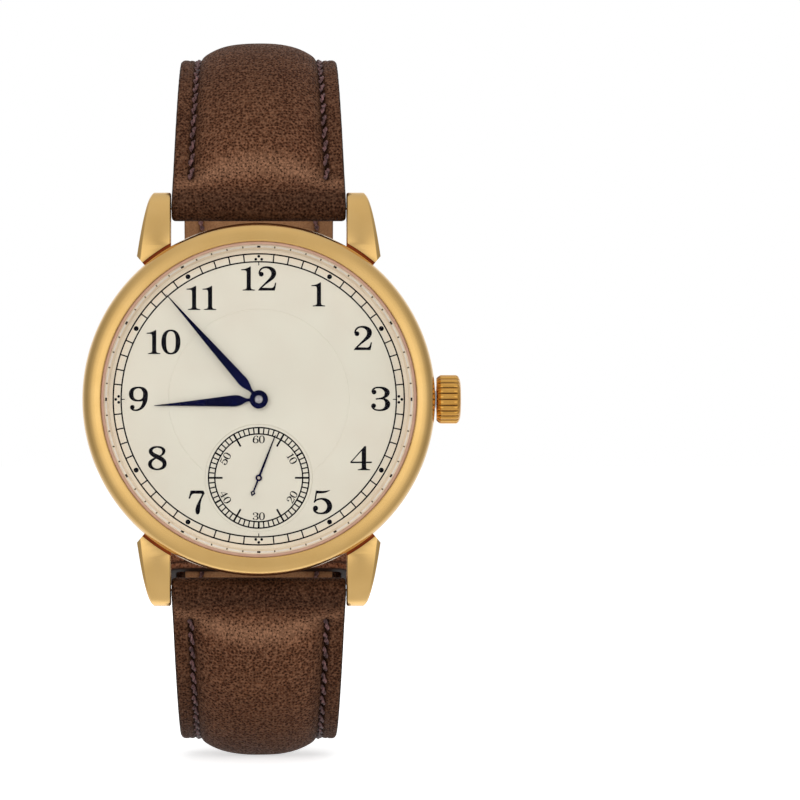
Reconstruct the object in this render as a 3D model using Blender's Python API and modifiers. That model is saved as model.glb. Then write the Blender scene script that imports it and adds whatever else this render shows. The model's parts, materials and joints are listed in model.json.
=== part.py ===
# Hand-wound wristwatch on a padded two-piece leather strap, closed at its tang buckle.
# Metres. The dial faces -Y, 12 o'clock is +Z, the crown is at +X, the buckle at +Y.
# The origin is the centre of the case back's flat outer face.
#
# Case, movement and hands are modelled under the empty "watch_head", whose local axes are
# x = 3 o'clock, y = 12 o'clock, z = out of the dial, with z = 0 on the case back.
# The buckle is modelled under the empty "buckle", on the buckle bar's axis:
# y = along the frame towards its plate, z = away from the wrist.

import math

import bmesh
import bpy
from mathutils import Matrix, Vector

mm = 0.001

# ---- case ----
CASE_DIAMETER = 40.0 * mm
CASE_BOTTOM = 0.75 * mm             # z of the case middle's lower face
CASE_TOP = 5.15 * mm                # z of its upper face, under the bezel
CASE_R = CASE_DIAMETER / 2
CASE_WALL = 3.60 * mm
CASE_BORE_R = CASE_R - CASE_WALL    # holds the movement ring
BACK_WALL = 3.05 * mm
BACK_BORE_R = CASE_R - BACK_WALL    # holds the case back's threaded rim
BACK_BORE_TOP = 2.00 * mm
BAND_INSET = 0.08 * mm              # the case middle's side stands this far inside the bezel
SEAT_GAP = 0.05 * mm                # between two pieces of metal that seat on each other
CASE_STEPS = 48                     # facets round the case

BEZEL_WIDTH = 2.15 * mm
BEZEL_HEIGHT = 3.10 * mm
CRYSTAL_EDGE = 0.95 * mm            # thickness of the crystal at its edge
CRYSTAL_DOME = 0.85 * mm            # rise of the crystal from edge to middle
CRYSTAL_THICKNESS = 1.10 * mm
GASKET_WIDTH = 0.30 * mm
GASKET_HEIGHT = 0.80 * mm
FLANGE_HEIGHT = 1.40 * mm
FLANGE_SLOPE = 0.45 * mm            # how far the flange leans out from dial to crystal

BACK_THICKNESS = 1.10 * mm
BACK_FLANGE_INSET = 1.60 * mm
BACK_FLANGE_R = CASE_R - BACK_FLANGE_INSET
BACK_FLANGE_THICKNESS = 0.70 * mm
BACK_RIM_WALL = 1.35 * mm
BACK_RIM_HEIGHT = 0.80 * mm
BACK_SLOTS = 6                      # slots for the case opener
BACK_SLOT_WIDTH = 2.20 * mm
BACK_SLOT_DEPTH = 0.35 * mm
BACK_GASKET_INSET = 2.50 * mm
BACK_GASKET_R = CASE_R - BACK_GASKET_INSET
BACK_GASKET_SIZE = 0.40 * mm

# ---- lugs and spring bars ----
LUG_GAP = 20.0 * mm                 # between the lugs: the strap size
BAR_OFFSET = 2.0 * mm               # spring bars' axis beyond the case's edge
LUG_OVERHANG = 1.6 * mm             # lug tips beyond the spring bars
LUG_LENGTH = 9.6 * mm
BAR_Y = CASE_R + BAR_OFFSET
LUG_TIP_Y = BAR_Y + LUG_OVERHANG
LUG_END_WIDTH = 2.20 * mm
LUG_ROOT_WIDTH = 4.00 * mm
LUG_ROOT_DEPTH = 1.7 * mm           # the lugs end this far inside the case middle's wall
LUG_ROOT_R = CASE_R - LUG_ROOT_DEPTH
LUG_TIP_LOW = -0.45 * mm
LUG_BEVEL = 0.20 * mm               # outer edge, at the tip
LUG_BEVEL_GROWTH = 1.10 * mm        # and how much wider it would be at the dial's centre line
LUG_INNER_BEVEL = 0.12 * mm
BAR_Z = 1.90 * mm
BAR_TUBE_R = 0.80 * mm
BAR_TUBE_BORE_R = 0.56 * mm
BAR_TUBE_LENGTH = 18.6 * mm
BAR_PIN_R = 0.40 * mm
BAR_PIN_REACH = 0.95 * mm           # how far a tip enters its lug
BAR_STEM_LENGTH = 2.20 * mm         # the part of a tip inside the tube
RUNNING = 0.05 * mm                 # radial clearance of everything that turns or slides

# ---- crown ----
CROWN_DIAMETER = 5.55 * mm
CROWN_LENGTH = 2.80 * mm
CROWN_STAND_OFF = 0.20 * mm         # crown to case
CROWN_FLUTES = 24
CROWN_FLUTE_DEPTH = 0.17 * mm
CROWN_RECESS_R = 1.45 * mm
CROWN_RECESS_DEPTH = 1.95 * mm
CROWN_TRAVEL = 1.00 * mm
STEM_Z = 3.20 * mm
STEM_R = 0.45 * mm
STEM_TAIL = 0.7 * mm                # of the stem inside the winding pinion
TUBE_R = 1.00 * mm
TUBE_FIT = 0.03 * mm
TUBE_REACH = 1.00 * mm              # how far the crown tube stands out of the case
WINDING_PINION_R = 1.42 * mm
WINDING_PINION_LENGTH = 1.6 * mm

# ---- dial and hands ----
DIAL_EDGE = 0.35 * mm               # the dial stands this far inside the bezel
DIAL_R = CASE_R - BEZEL_WIDTH - DIAL_EDGE
DIAL_Z = 5.25 * mm
DIAL_THICKNESS = 0.40 * mm
SECONDS_Y = -8.9 * mm               # centre of the small seconds
SUBDIAL_R = 6.1 * mm
SUBDIAL_DEPTH = 0.12 * mm
DIAL_CENTRE_HOLE_R = 0.95 * mm
DIAL_SECONDS_HOLE_R = 0.36 * mm

HOUR_HAND = dict(length=11.8 * mm, widest=1.27 * mm, widest_at=2.67 * mm, neck=0.40 * mm,
                 hub_r=1.045 * mm, tip=0.16 * mm, z=6.00 * mm, thickness=0.15 * mm)
MINUTE_HAND = dict(length=15.7 * mm, widest=1.10 * mm, widest_at=2.76 * mm, neck=0.40 * mm,
                   hub_r=1.045 * mm, tip=0.14 * mm, z=6.42 * mm, thickness=0.15 * mm)
SECONDS_HAND = dict(length=5.2 * mm, tail=2.2 * mm, width=0.16 * mm, hub_r=0.375 * mm,
                    z=5.72 * mm, thickness=0.09 * mm)
HOUR_ANGLE = 266.6                  # degrees clockwise from 12: the watch reads 8:53
MINUTE_ANGLE = 318.6
SECONDS_ANGLE = 21.2

# ---- movement ----
PLATE_R = 15.0 * mm
PLATE_Z = 3.98 * mm
PLATE_THICKNESS = 0.74 * mm
BRIDGE_Z = 1.75 * mm
BRIDGE_THICKNESS = 0.50 * mm
BRIDGE_R = 14.4 * mm
BRIDGE_FOOT_R = 0.80 * mm
COCK_Z = 1.30 * mm
COCK_THICKNESS = 0.42 * mm
RING_BOTTOM = 2.05 * mm
PIVOT_R = 0.16 * mm
ARBOR_R = 0.25 * mm
SLIM_ARBOR_R = 0.20 * mm            # escape wheel and pallet fork
FOURTH_ARBOR_R = 0.22 * mm          # it passes through the dial to the seconds hand
END_SHAKE = 0.04 * mm
PALLET_COCK_Z = 2.97 * mm
PALLET_COCK_THICKNESS = 0.20 * mm
CENTRE_WHEEL_CLEARANCE = 0.20 * mm  # to the barrel's arbor, which it passes
TOOTH_TIP = 0.8                     # tooth heights, as shares of the gear's module
TOOTH_ROOT = 1.1

CENTRE_WHEEL = dict(teeth=64, z=2.32 * mm, thickness=0.26 * mm)
CENTRE_PINION = dict(teeth=12, z=3.52 * mm, thickness=0.40 * mm)
THIRD_WHEEL = dict(teeth=60, z=2.78 * mm, thickness=0.24 * mm)
THIRD_PINION = dict(teeth=8, z=2.26 * mm, thickness=0.40 * mm)
FOURTH_WHEEL = dict(teeth=60, z=3.52 * mm, thickness=0.22 * mm)
FOURTH_PINION = dict(teeth=8, z=2.70 * mm, thickness=0.40 * mm)
ESCAPE_WHEEL = dict(teeth=15, z=3.25 * mm, thickness=0.16 * mm)
ESCAPE_PINION = dict(teeth=6, z=3.46 * mm, thickness=0.34 * mm)
BARREL_WHEEL = dict(teeth=72, z=3.58 * mm, thickness=0.30 * mm)
THIRD_FOURTH_MODULE = 0.155 * mm
FOURTH_ESCAPE_MODULE = 0.130 * mm
BARREL_MODULE = 0.155 * mm
WORKS_MODULE = 0.120 * mm           # cannon pinion and minute wheel
CANNON_TEETH = 12
MINUTE_WHEEL_TEETH = 36
MINUTE_PINION_TEETH = 10
HOUR_WHEEL_TEETH = 40
WORKS_Z = 4.80 * mm
WORKS_THICKNESS = 0.18 * mm
RATCHET_TEETH = 40
CROWN_WHEEL_TEETH = 32
WINDING_MODULE = 0.1717 * mm        # puts the crown wheel's rim over the winding pinion
WINDING_Z = 1.35 * mm
WINDING_THICKNESS = 0.34 * mm
BARREL_ANGLE = 60.0                 # direction of the barrel from the centre, degrees
ESCAPE_ANGLE = 200.0                # direction of the escape wheel from the fourth
BALANCE_ANGLE = 110.0               # direction of pallets and balance from the escape wheel
PALLET_DISTANCE = 2.75 * mm
BALANCE_DISTANCE = 6.2 * mm
BALANCE_R = 4.2 * mm
BALANCE_RIM = 0.55 * mm
BALANCE_Z = 2.66 * mm
BALANCE_THICKNESS = 0.24 * mm
BARREL_ARBOR_R = 0.57 * mm
BARREL_RIM = 0.38 * mm              # the drum's wall stands this far inside the teeth
BARREL_DRUM_R = BARREL_WHEEL["teeth"] * BARREL_MODULE / 2 - BARREL_RIM
BARREL_WALL = 0.30 * mm
BARREL_TOP = 2.78 * mm
HAIRSPRING_R = 2.0 * mm
HAIRSPRING_TURNS = 5

# ---- strap ----
STRAP_LUG_WIDTH = 19.7 * mm
STRAP_BUCKLE_WIDTH = 18.0 * mm
STRAP_TAPER_LENGTH = 75.0 * mm
SKIN = 0.80 * mm                    # outer leather
LINING = 0.90 * mm
PADDING_RISE = 2.00 * mm            # how far the padding lifts the middle of the strap
TAIL_RISE = 0.20 * mm
LONG_PADDED = 30.0 * mm             # full padding up to here from the spring bar,
LONG_THINNED = 58.0 * mm            # thinning out to here
SHORT_PADDED = 26.0 * mm
SHORT_THINNED = 39.0 * mm
STITCH_MARGIN = 2.05 * mm           # flat edge outside the padding
PLY_GAP = 0.05 * mm
PADDING_GAP = 0.24 * mm
LOOP_HALF_HEIGHT = 39.0 * mm        # of the surface between outer leather and lining
LOOP_BACK_Y = 45.8 * mm
WRAP_GAP = 0.10 * mm                # leather round a spring bar or the buckle bar
PINCH_LENGTH = 4.0 * mm             # from a bar to where the two plies meet
STATION = 4.5 * mm                  # spacing of the strap's sections

BUCKLE_BAR_Z = -3.3 * mm
OVERLAP_GAP = 0.30 * mm             # between the two strap pieces where they overlap
LONG_OVER_SHORT = LINING + SKIN + TAIL_RISE + OVERLAP_GAP   # the long piece's lift
BAR_OVERLAP_GAP = 0.15 * mm
LIFT_START_Z = 6.6 * mm
LIFT_END_Z = -2.5 * mm
TIP_Z = -36.0 * mm
TIP_LENGTH = 17.0 * mm
HOLE_PITCH = 7.0 * mm
HOLE_R = 0.90 * mm
HOLES_TO_LUG = 5                    # holes above the one in use
TONGUE_HOLE = (2.30 * mm, 3.60 * mm)

# ---- buckle ----
BUCKLE_TILT = 11.0                  # degrees: the plate stands out over the strap
BUCKLE_BAR_R = 0.70 * mm
LONG_OVER_BAR = BUCKLE_BAR_R + WRAP_GAP + SKIN + LINING + BAR_OVERLAP_GAP
BUCKLE_PIN_R = 0.42 * mm             # the bar's ends in the frame's arms
BUCKLE_WIDTH = 21.2 * mm
BUCKLE_SIDE = 1.30 * mm
BUCKLE_THICKNESS = 1.20 * mm
BUCKLE_OPENING = 9.3 * mm           # bar axis to the plate's lower edge
BUCKLE_CORNER_Y = 12.2 * mm
BUCKLE_APEX_Y = 14.8 * mm
NOTCH_R = 1.43 * mm
NOTCH_TOP = 11.4 * mm
NOTCH_FLOOR = -0.15 * mm
TONGUE_WIDTH = 2.0 * mm
TONGUE_R = 0.60 * mm
TONGUE_EYE_R = 1.40 * mm
TONGUE_SLOT_WIDTH = 3.2 * mm
TONGUE_SLOT_LENGTH = 5.0 * mm

FIXED_KEEPER_Z = -13.5 * mm
KEEPER_PITCH = 5.55 * mm
FIXED_KEEPER = dict(width=5.2 * mm, inside=19.0 * mm, wall=1.10 * mm)
FREE_KEEPER = dict(width=4.9 * mm, inside=19.9 * mm, wall=1.10 * mm)
KEEPER_CLEARANCE = 0.35 * mm

FINISHES = {                        # colour, metallic, roughness
    "gold": ((0.72, 0.43, 0.15), 1.0, 0.22),
    "buckle_gold": ((0.86, 0.60, 0.20), 1.0, 0.12),
    "crystal": ((0.92, 0.95, 0.96), 0.0, 0.02),
    "gasket": ((0.45, 0.42, 0.38), 0.0, 0.5),
    "rubber": ((0.02, 0.02, 0.02), 0.0, 0.7),
    "dial": ((0.75, 0.70, 0.60), 0.0, 0.45),
    "blued_steel": ((0.01, 0.02, 0.08), 1.0, 0.25),
    "steel": ((0.55, 0.56, 0.57), 1.0, 0.3),
    "brass": ((0.70, 0.52, 0.22), 1.0, 0.35),
    "nickel": ((0.62, 0.61, 0.58), 1.0, 0.35),
    "leather": ((0.10, 0.045, 0.025), 0.0, 0.55),
    "lining": ((0.20, 0.09, 0.05), 0.0, 0.65),
    "foam": ((0.35, 0.30, 0.24), 0.0, 0.9),
}


# ---- scene, materials, placing ----

def clear_scene():
    for obj in list(bpy.data.objects):
        bpy.data.objects.remove(obj, do_unlink=True)


def new_collection(name):
    collection = bpy.data.collections.new(name)
    bpy.context.scene.collection.children.link(collection)
    return collection


def material_of(node, finish):
    colour, metallic, roughness = FINISHES[finish]
    material = bpy.data.materials.new(node)
    material.use_nodes = True
    shader = material.node_tree.nodes["Principled BSDF"]
    shader.inputs["Base Color"].default_value = (*colour, 1.0)
    shader.inputs["Metallic"].default_value = metallic
    shader.inputs["Roughness"].default_value = roughness
    return material


def empty(name, location, rotation):
    obj = bpy.data.objects.new(name, None)
    parts.objects.link(obj)
    obj.empty_display_size = 0.005
    obj.location = location
    obj.rotation_euler = rotation
    return obj


def place(obj, finish, parent, location=(0, 0, 0), rotation=(0, 0, 0)):
    obj.parent = parent
    obj.location = location
    obj.rotation_euler = rotation
    obj.data.materials.clear()
    obj.data.materials.append(material_of(obj.name, finish))
    return obj


def cutter(obj, parent, location=(0, 0, 0), rotation=(0, 0, 0)):
    parts.objects.unlink(obj)
    cutters.objects.link(obj)
    obj.parent = parent
    obj.location = location
    obj.rotation_euler = rotation
    obj.hide_render = True
    obj.display_type = "WIRE"
    return obj


def boolean(obj, other, operation="DIFFERENCE"):
    modifier = obj.modifiers.new(operation.title() + " " + other.name, "BOOLEAN")
    modifier.operation = operation
    modifier.solver = "EXACT"
    modifier.object = other


# ---- shapes ----

def mesh_object(name, mesh):
    obj = bpy.data.objects.new(name, mesh)
    parts.objects.link(obj)
    return obj


def turned(name, profile, steps=CASE_STEPS, ring=False, sharp=25.0):
    """Profile points (radius, z) run down the outer side; a ring's profile closes on itself."""
    mesh = bpy.data.meshes.new(name)
    edges = [(i, i + 1) for i in range(len(profile) - 1)]
    if ring:
        edges.append((len(profile) - 1, 0))
    mesh.from_pydata([(r, 0.0, z) for r, z in profile], edges, [])
    obj = mesh_object(name, mesh)
    screw = obj.modifiers.new("Turn", "SCREW")
    screw.steps = steps
    screw.render_steps = steps
    screw.use_merge_vertices = True
    screw.merge_threshold = 0.000001
    screw.use_smooth_shade = False
    baked = bpy.data.meshes.new_from_object(obj.evaluated_get(bpy.context.evaluated_depsgraph_get()))
    obj.modifiers.clear()
    obj.data = baked
    baked.name = name
    bpy.data.meshes.remove(mesh)
    tidy_mesh(baked, sharp)
    return obj


def round_bar(name, radius, bottom, top, steps=16):
    return turned(name, [(0, top), (radius, top), (radius, bottom), (0, bottom)], steps)


FILL_SCALE = 1000.0                 # outlines are filled in millimetres: tiny ones lose points in metres


def plate(name, outlines, bottom, thickness):
    """A flat piece: the first outline is its edge, the others are openings in it."""
    curve = bpy.data.curves.new(name, "CURVE")
    curve.dimensions = "2D"
    curve.fill_mode = "BOTH"
    curve.extrude = thickness / 2 * FILL_SCALE
    for outline in outlines:
        spline = curve.splines.new("POLY")
        spline.points.add(len(outline) - 1)
        spline.use_cyclic_u = True
        for point, (x, y) in zip(spline.points, outline):
            point.co = (x * FILL_SCALE, y * FILL_SCALE, 0.0, 1.0)
    shape = mesh_object(name + "_outline", curve)
    mesh = bpy.data.meshes.new_from_object(shape.evaluated_get(bpy.context.evaluated_depsgraph_get()))
    bpy.data.objects.remove(shape, do_unlink=True)
    mesh.name = name
    middle = Matrix.Translation((0, 0, bottom + thickness / 2))
    mesh.transform(middle @ Matrix.Scale(1 / FILL_SCALE, 4))
    tidy_mesh(mesh)
    return mesh_object(name, mesh)


def tidy_mesh(mesh, sharp=30.0):
    bm = bmesh.new()
    bm.from_mesh(mesh)
    bmesh.ops.remove_doubles(bm, verts=bm.verts, dist=0.0000005)
    bmesh.ops.recalc_face_normals(bm, faces=bm.faces)
    bm.to_mesh(mesh)
    bm.free()
    mesh.shade_smooth()
    mesh.set_sharp_from_angle(angle=math.radians(sharp))


def box(name, low, high):
    bm = bmesh.new()
    bmesh.ops.create_cube(bm, size=1.0)
    size = [b - a for a, b in zip(low, high)]
    middle = [(a + b) / 2 for a, b in zip(low, high)]
    bmesh.ops.transform(bm, matrix=Matrix.Translation(middle) @ Matrix.Diagonal((*size, 1.0)), verts=bm.verts)
    mesh = bpy.data.meshes.new(name)
    bm.to_mesh(mesh)
    bm.free()
    return mesh_object(name, mesh)


def cylinders(name, items, steps=12):
    """One mesh of separate round bars, each (radius, length, matrix), for use as a cutter."""
    bm = bmesh.new()
    for radius, length, matrix in items:
        bmesh.ops.create_cone(bm, cap_ends=True, segments=steps, radius1=radius, radius2=radius,
                              depth=length, matrix=matrix)
    mesh = bpy.data.meshes.new(name)
    bm.to_mesh(mesh)
    bm.free()
    return mesh_object(name, mesh)


def upright(x, y, bottom, top):
    return Matrix.Translation((x, y, (bottom + top) / 2))


def along_x(x, y, z):
    return Matrix.Translation((x, y, z)) @ Matrix.Rotation(math.radians(90), 4, "Y")


def loft(name, rings):
    """A closed body through rings of equal point count, with flat ends."""
    bm = bmesh.new()
    rows = [[bm.verts.new(point) for point in ring] for ring in rings]
    count = len(rows[0])
    for first, second in zip(rows, rows[1:]):
        for i in range(count):
            j = (i + 1) % count
            bm.faces.new((first[i], first[j], second[j], second[i]))
    bm.faces.new(rows[0])
    bm.faces.new(list(reversed(rows[-1])))
    bmesh.ops.recalc_face_normals(bm, faces=bm.faces)
    bmesh.ops.triangulate(bm, faces=bm.faces, quad_method="FIXED")
    mesh = bpy.data.meshes.new(name)
    bm.to_mesh(mesh)
    bm.free()
    mesh.shade_smooth()
    mesh.set_sharp_from_angle(angle=math.radians(40))
    return mesh_object(name, mesh)


def ribbon(name, points, height, bottom, thickness):
    """A flat spring: an open line raised to a strip, given thickness by Solidify."""
    bm = bmesh.new()
    low = [bm.verts.new((x, y, bottom)) for x, y in points]
    edges = [bm.edges.new(pair) for pair in zip(low, low[1:])]
    raised = bmesh.ops.extrude_edge_only(bm, edges=edges)
    top = [item for item in raised["geom"] if isinstance(item, bmesh.types.BMVert)]
    bmesh.ops.translate(bm, verts=top, vec=(0, 0, height))
    mesh = bpy.data.meshes.new(name)
    bm.to_mesh(mesh)
    bm.free()
    obj = mesh_object(name, mesh)
    solid = obj.modifiers.new("Thickness", "SOLIDIFY")
    solid.thickness = thickness
    solid.offset = 0.0
    return obj


def circle(radius, count, centre=(0, 0), start=0.0):
    turn = 2 * math.pi / count
    return [(centre[0] + radius * math.cos(start + i * turn),
             centre[1] + radius * math.sin(start + i * turn)) for i in range(count)]


def arc(radius, first, last, count, centre=(0, 0)):
    """Points on an arc from first to last degrees, both ends included."""
    angles = [math.radians(first + (last - first) * i / (count - 1)) for i in range(count)]
    return [(centre[0] + radius * math.cos(a), centre[1] + radius * math.sin(a)) for a in angles]


# ---- gears ----

def pitch_r(teeth, module):
    return teeth * module / 2


def wheel_teeth(teeth, module, phase):
    """Fine pointed teeth, with one tooth's tip at the angle phase."""
    tip = pitch_r(teeth, module) + TOOTH_TIP * module
    root = pitch_r(teeth, module) - TOOTH_ROOT * module
    points = []
    for i in range(teeth):
        angle = phase + 2 * math.pi * i / teeth
        points += circle(tip, 1, start=angle)
        points += circle(root, 1, start=angle + math.pi / teeth)
    return points


def pinion_leaves(teeth, module, phase):
    """Slender leaves with flat tips and a flat root between them."""
    tip = pitch_r(teeth, module) + TOOTH_TIP * module
    root = pitch_r(teeth, module) - TOOTH_ROOT * module
    pitch = 2 * math.pi / teeth
    points = []
    for i in range(teeth):
        for radius, share in ((root, -0.20), (tip, -0.07), (tip, 0.07), (root, 0.20)):
            points += circle(radius, 1, start=phase + (i + share) * pitch)
    return points


def crossings(arms, hub, rim, arm_width):
    """The openings between a wheel's arms."""
    openings = []
    for i in range(arms):
        first = 360.0 * i / arms
        last = 360.0 * (i + 1) / arms
        outer = math.degrees(arm_width / 2 / rim)
        inner = math.degrees(arm_width / 2 / hub)
        opening = arc(rim, first + outer, last - outer, 5) + arc(hub, last - inner, first + inner, 2)
        openings.append(opening)
    return openings


def mesh_phase(direction, teeth, phase, other_teeth):
    """Phase that puts a gear's gap where the first gear, at the given phase, has its tooth."""
    return direction + math.pi - teeth / other_teeth * (phase - direction) - math.pi / other_teeth


def gear(name, wheel, module, phase, pinion, pinion_module, pinion_phase, arbor, arms=5):
    """A wheel and its pinion on one arbor; wheel and pinion are (teeth, z, thickness) entries."""
    rim = pitch_r(wheel["teeth"], module) - 3.2 * module
    outlines = [wheel_teeth(wheel["teeth"], module, phase)]
    outlines += crossings(arms, 0.34 * rim, rim, 0.55 * mm)
    obj = plate(name, outlines, wheel["z"], wheel["thickness"])
    add_arbor(obj, *arbor)
    leaves = pinion_leaves(pinion["teeth"], pinion_module, pinion_phase)
    tool = plate(name + "_pinion", [leaves], pinion["z"], pinion["thickness"])
    cutter(tool, obj)
    boolean(obj, tool, "UNION")
    return obj


def add_arbor(obj, radius, ends, shoulders):
    """A round arbor with a thinner pivot beyond each shoulder; ends and shoulders are (low, high)."""
    low, high = ends
    low_shoulder, high_shoulder = shoulders
    profile = [(0, high), (PIVOT_R, high), (PIVOT_R, high_shoulder), (radius, high_shoulder),
               (radius, low_shoulder), (PIVOT_R, low_shoulder), (PIVOT_R, low), (0, low)]
    tool = turned(obj.name + "_arbor", profile, 8)
    cutter(tool, obj)
    boolean(obj, tool, "UNION")


# ---- derived places in the watch head ----
BEZEL_BOTTOM = CASE_TOP + SEAT_GAP
BEZEL_TOP = BEZEL_BOTTOM + BEZEL_HEIGHT
BEZEL_INNER_R = CASE_R - BEZEL_WIDTH
DIAL_TOP = DIAL_Z + DIAL_THICKNESS
FLANGE_BOTTOM = DIAL_TOP + SEAT_GAP
FLANGE_TOP = FLANGE_BOTTOM + FLANGE_HEIGHT
CRYSTAL_R = BEZEL_INNER_R - GASKET_WIDTH - 2 * 0.03 * mm
CRYSTAL_BOTTOM = FLANGE_TOP + SEAT_GAP
BRIDGE_TOP = BRIDGE_Z + BRIDGE_THICKNESS
PLATE_TOP = PLATE_Z + PLATE_THICKNESS


def toward(origin, degrees, distance):
    angle = math.radians(degrees)
    return (origin[0] + distance * math.cos(angle), origin[1] + distance * math.sin(angle))


def direction(origin, target):
    return math.atan2(target[1] - origin[1], target[0] - origin[0])


CENTRE = (0.0, 0.0)
FOURTH = (0.0, SECONDS_Y)
BARREL_DISTANCE = pitch_r(BARREL_WHEEL["teeth"] + CENTRE_PINION["teeth"], BARREL_MODULE)
CENTRE_THIRD_MODULE = ((BARREL_DISTANCE - BARREL_ARBOR_R - CENTRE_WHEEL_CLEARANCE)
                       / (CENTRE_WHEEL["teeth"] / 2 + TOOTH_TIP))
CENTRE_THIRD = pitch_r(CENTRE_WHEEL["teeth"] + THIRD_PINION["teeth"], CENTRE_THIRD_MODULE)
THIRD_FOURTH = pitch_r(THIRD_WHEEL["teeth"] + FOURTH_PINION["teeth"], THIRD_FOURTH_MODULE)
THIRD_Y = -(CENTRE_THIRD ** 2 - THIRD_FOURTH ** 2 + SECONDS_Y ** 2) / (2 * abs(SECONDS_Y))
THIRD = (math.sqrt(CENTRE_THIRD ** 2 - THIRD_Y ** 2), THIRD_Y)
ESCAPE = toward(FOURTH, ESCAPE_ANGLE,
                pitch_r(FOURTH_WHEEL["teeth"] + ESCAPE_PINION["teeth"], FOURTH_ESCAPE_MODULE))
PALLET = toward(ESCAPE, BALANCE_ANGLE, PALLET_DISTANCE)
BALANCE = toward(ESCAPE, BALANCE_ANGLE, BALANCE_DISTANCE)
BARREL = toward(CENTRE, BARREL_ANGLE, BARREL_DISTANCE)
MINUTE_WHEEL = toward(CENTRE, 150.0, pitch_r(CANNON_TEETH + MINUTE_WHEEL_TEETH, WORKS_MODULE))
HOUR_MODULE = (WORKS_MODULE * (CANNON_TEETH + MINUTE_WHEEL_TEETH)
               / (MINUTE_PINION_TEETH + HOUR_WHEEL_TEETH))
WINDING_DISTANCE = pitch_r(RATCHET_TEETH + CROWN_WHEEL_TEETH, WINDING_MODULE)
CROWN_WHEEL = (BARREL[0] + math.sqrt(WINDING_DISTANCE ** 2 - BARREL[1] ** 2), 0.0)
WINDING_PINION_X = (CROWN_WHEEL[0] + 0.95 * pitch_r(CROWN_WHEEL_TEETH, WINDING_MODULE)
                    - WINDING_PINION_LENGTH / 2)


# ---- case ----

def make_case(head):
    side = CASE_R - BAND_INSET
    ring = [(side - 0.20 * mm, CASE_TOP), (side, CASE_TOP - 0.75 * mm), (side - 0.08 * mm, 3.0 * mm),
            (side - 0.50 * mm, 1.7 * mm), (side - 1.45 * mm, CASE_BOTTOM),
            (BACK_GASKET_R + 0.30 * mm, CASE_BOTTOM), (BACK_GASKET_R + 0.30 * mm, CASE_BOTTOM + 0.45 * mm),
            (BACK_GASKET_R - 0.30 * mm, CASE_BOTTOM + 0.45 * mm), (BACK_GASKET_R - 0.30 * mm, CASE_BOTTOM),
            (BACK_BORE_R, CASE_BOTTOM), (BACK_BORE_R, BACK_BORE_TOP), (CASE_BORE_R, BACK_BORE_TOP),
            (CASE_BORE_R, CASE_TOP)]
    case = turned("case_middle", ring, CASE_STEPS, ring=True)
    place(case, "gold", head)
    for sign_x in (-1, 1):
        for sign_y in (-1, 1):
            lug = make_lug(sign_x, sign_y)
            cutter(lug, case)
            boolean(case, lug, "UNION")
    holes = []
    for sign_x in (-1, 1):
        for sign_y in (-1, 1):
            middle = sign_x * (LUG_GAP / 2 + BAR_PIN_REACH / 2)
            holes.append((BAR_PIN_R + RUNNING, BAR_PIN_REACH + 0.4 * mm,
                          along_x(middle, sign_y * BAR_Y, BAR_Z)))
    holes.append((TUBE_R + TUBE_FIT, CASE_WALL + 2 * mm, along_x(CASE_R - CASE_WALL / 2, 0, STEM_Z)))
    tool = cutter(cylinders("case_holes", holes, 16), case)
    boolean(case, tool)

    bezel = turned("bezel", [
        (BEZEL_INNER_R, BEZEL_TOP - 0.22 * mm), (BEZEL_INNER_R + 0.25 * mm, BEZEL_TOP),
        (BEZEL_INNER_R + 0.85 * mm, BEZEL_TOP), (CASE_R - 0.60 * mm, BEZEL_TOP - 0.42 * mm),
        (CASE_R - 0.20 * mm, BEZEL_TOP - 1.05 * mm), (CASE_R, BEZEL_TOP - 1.80 * mm),
        (CASE_R, BEZEL_BOTTOM + 0.55 * mm), (CASE_R - 0.20 * mm, BEZEL_BOTTOM),
        (BEZEL_INNER_R, BEZEL_BOTTOM)], CASE_STEPS, ring=True, sharp=35)
    place(bezel, "gold", head)

    gasket_inner = CRYSTAL_R + 0.03 * mm
    gasket = turned("crystal_gasket", [
        (gasket_inner + GASKET_WIDTH, CRYSTAL_BOTTOM + GASKET_HEIGHT),
        (gasket_inner + GASKET_WIDTH, CRYSTAL_BOTTOM), (gasket_inner, CRYSTAL_BOTTOM),
        (gasket_inner, CRYSTAL_BOTTOM + GASKET_HEIGHT)], CASE_STEPS, ring=True)
    place(gasket, "gasket", head)

    edge_top = CRYSTAL_BOTTOM + CRYSTAL_EDGE
    outer = [(CRYSTAL_R * share, edge_top + CRYSTAL_DOME * (1 - share ** 2)) for share in (0, 0.35, 0.65, 0.93)]
    inner = [(r, z - CRYSTAL_THICKNESS) for r, z in outer]
    crystal = turned("crystal", outer + [(CRYSTAL_R, edge_top - 0.05 * mm), (CRYSTAL_R, CRYSTAL_BOTTOM)]
                     + list(reversed(inner)), CASE_STEPS)
    place(crystal, "crystal", head)

    flange_r = BEZEL_INNER_R - SEAT_GAP
    flange_foot = CRYSTAL_R - FLANGE_SLOPE - 0.03 * mm
    flange = turned("flange_ring", [
        (flange_r, FLANGE_TOP), (flange_r, FLANGE_BOTTOM), (flange_foot, FLANGE_BOTTOM),
        (flange_foot + FLANGE_SLOPE, FLANGE_TOP)], CASE_STEPS, ring=True)
    place(flange, "gold", head)


def inset(outline, amounts):
    """The outline, drawn clockwise, with each point moved inwards by its amount."""
    count = len(outline)
    result = []
    for i, (x, y) in enumerate(outline):
        before = outline[i - 1]
        after = outline[(i + 1) % count]
        first = Vector((y - before[1], before[0] - x)).normalized()
        second = Vector((after[1] - y, x - after[0])).normalized()
        inward = (first + second).normalized()
        result.append((x + inward.x * amounts[i], y + inward.y * amounts[i]))
    return result


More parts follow.
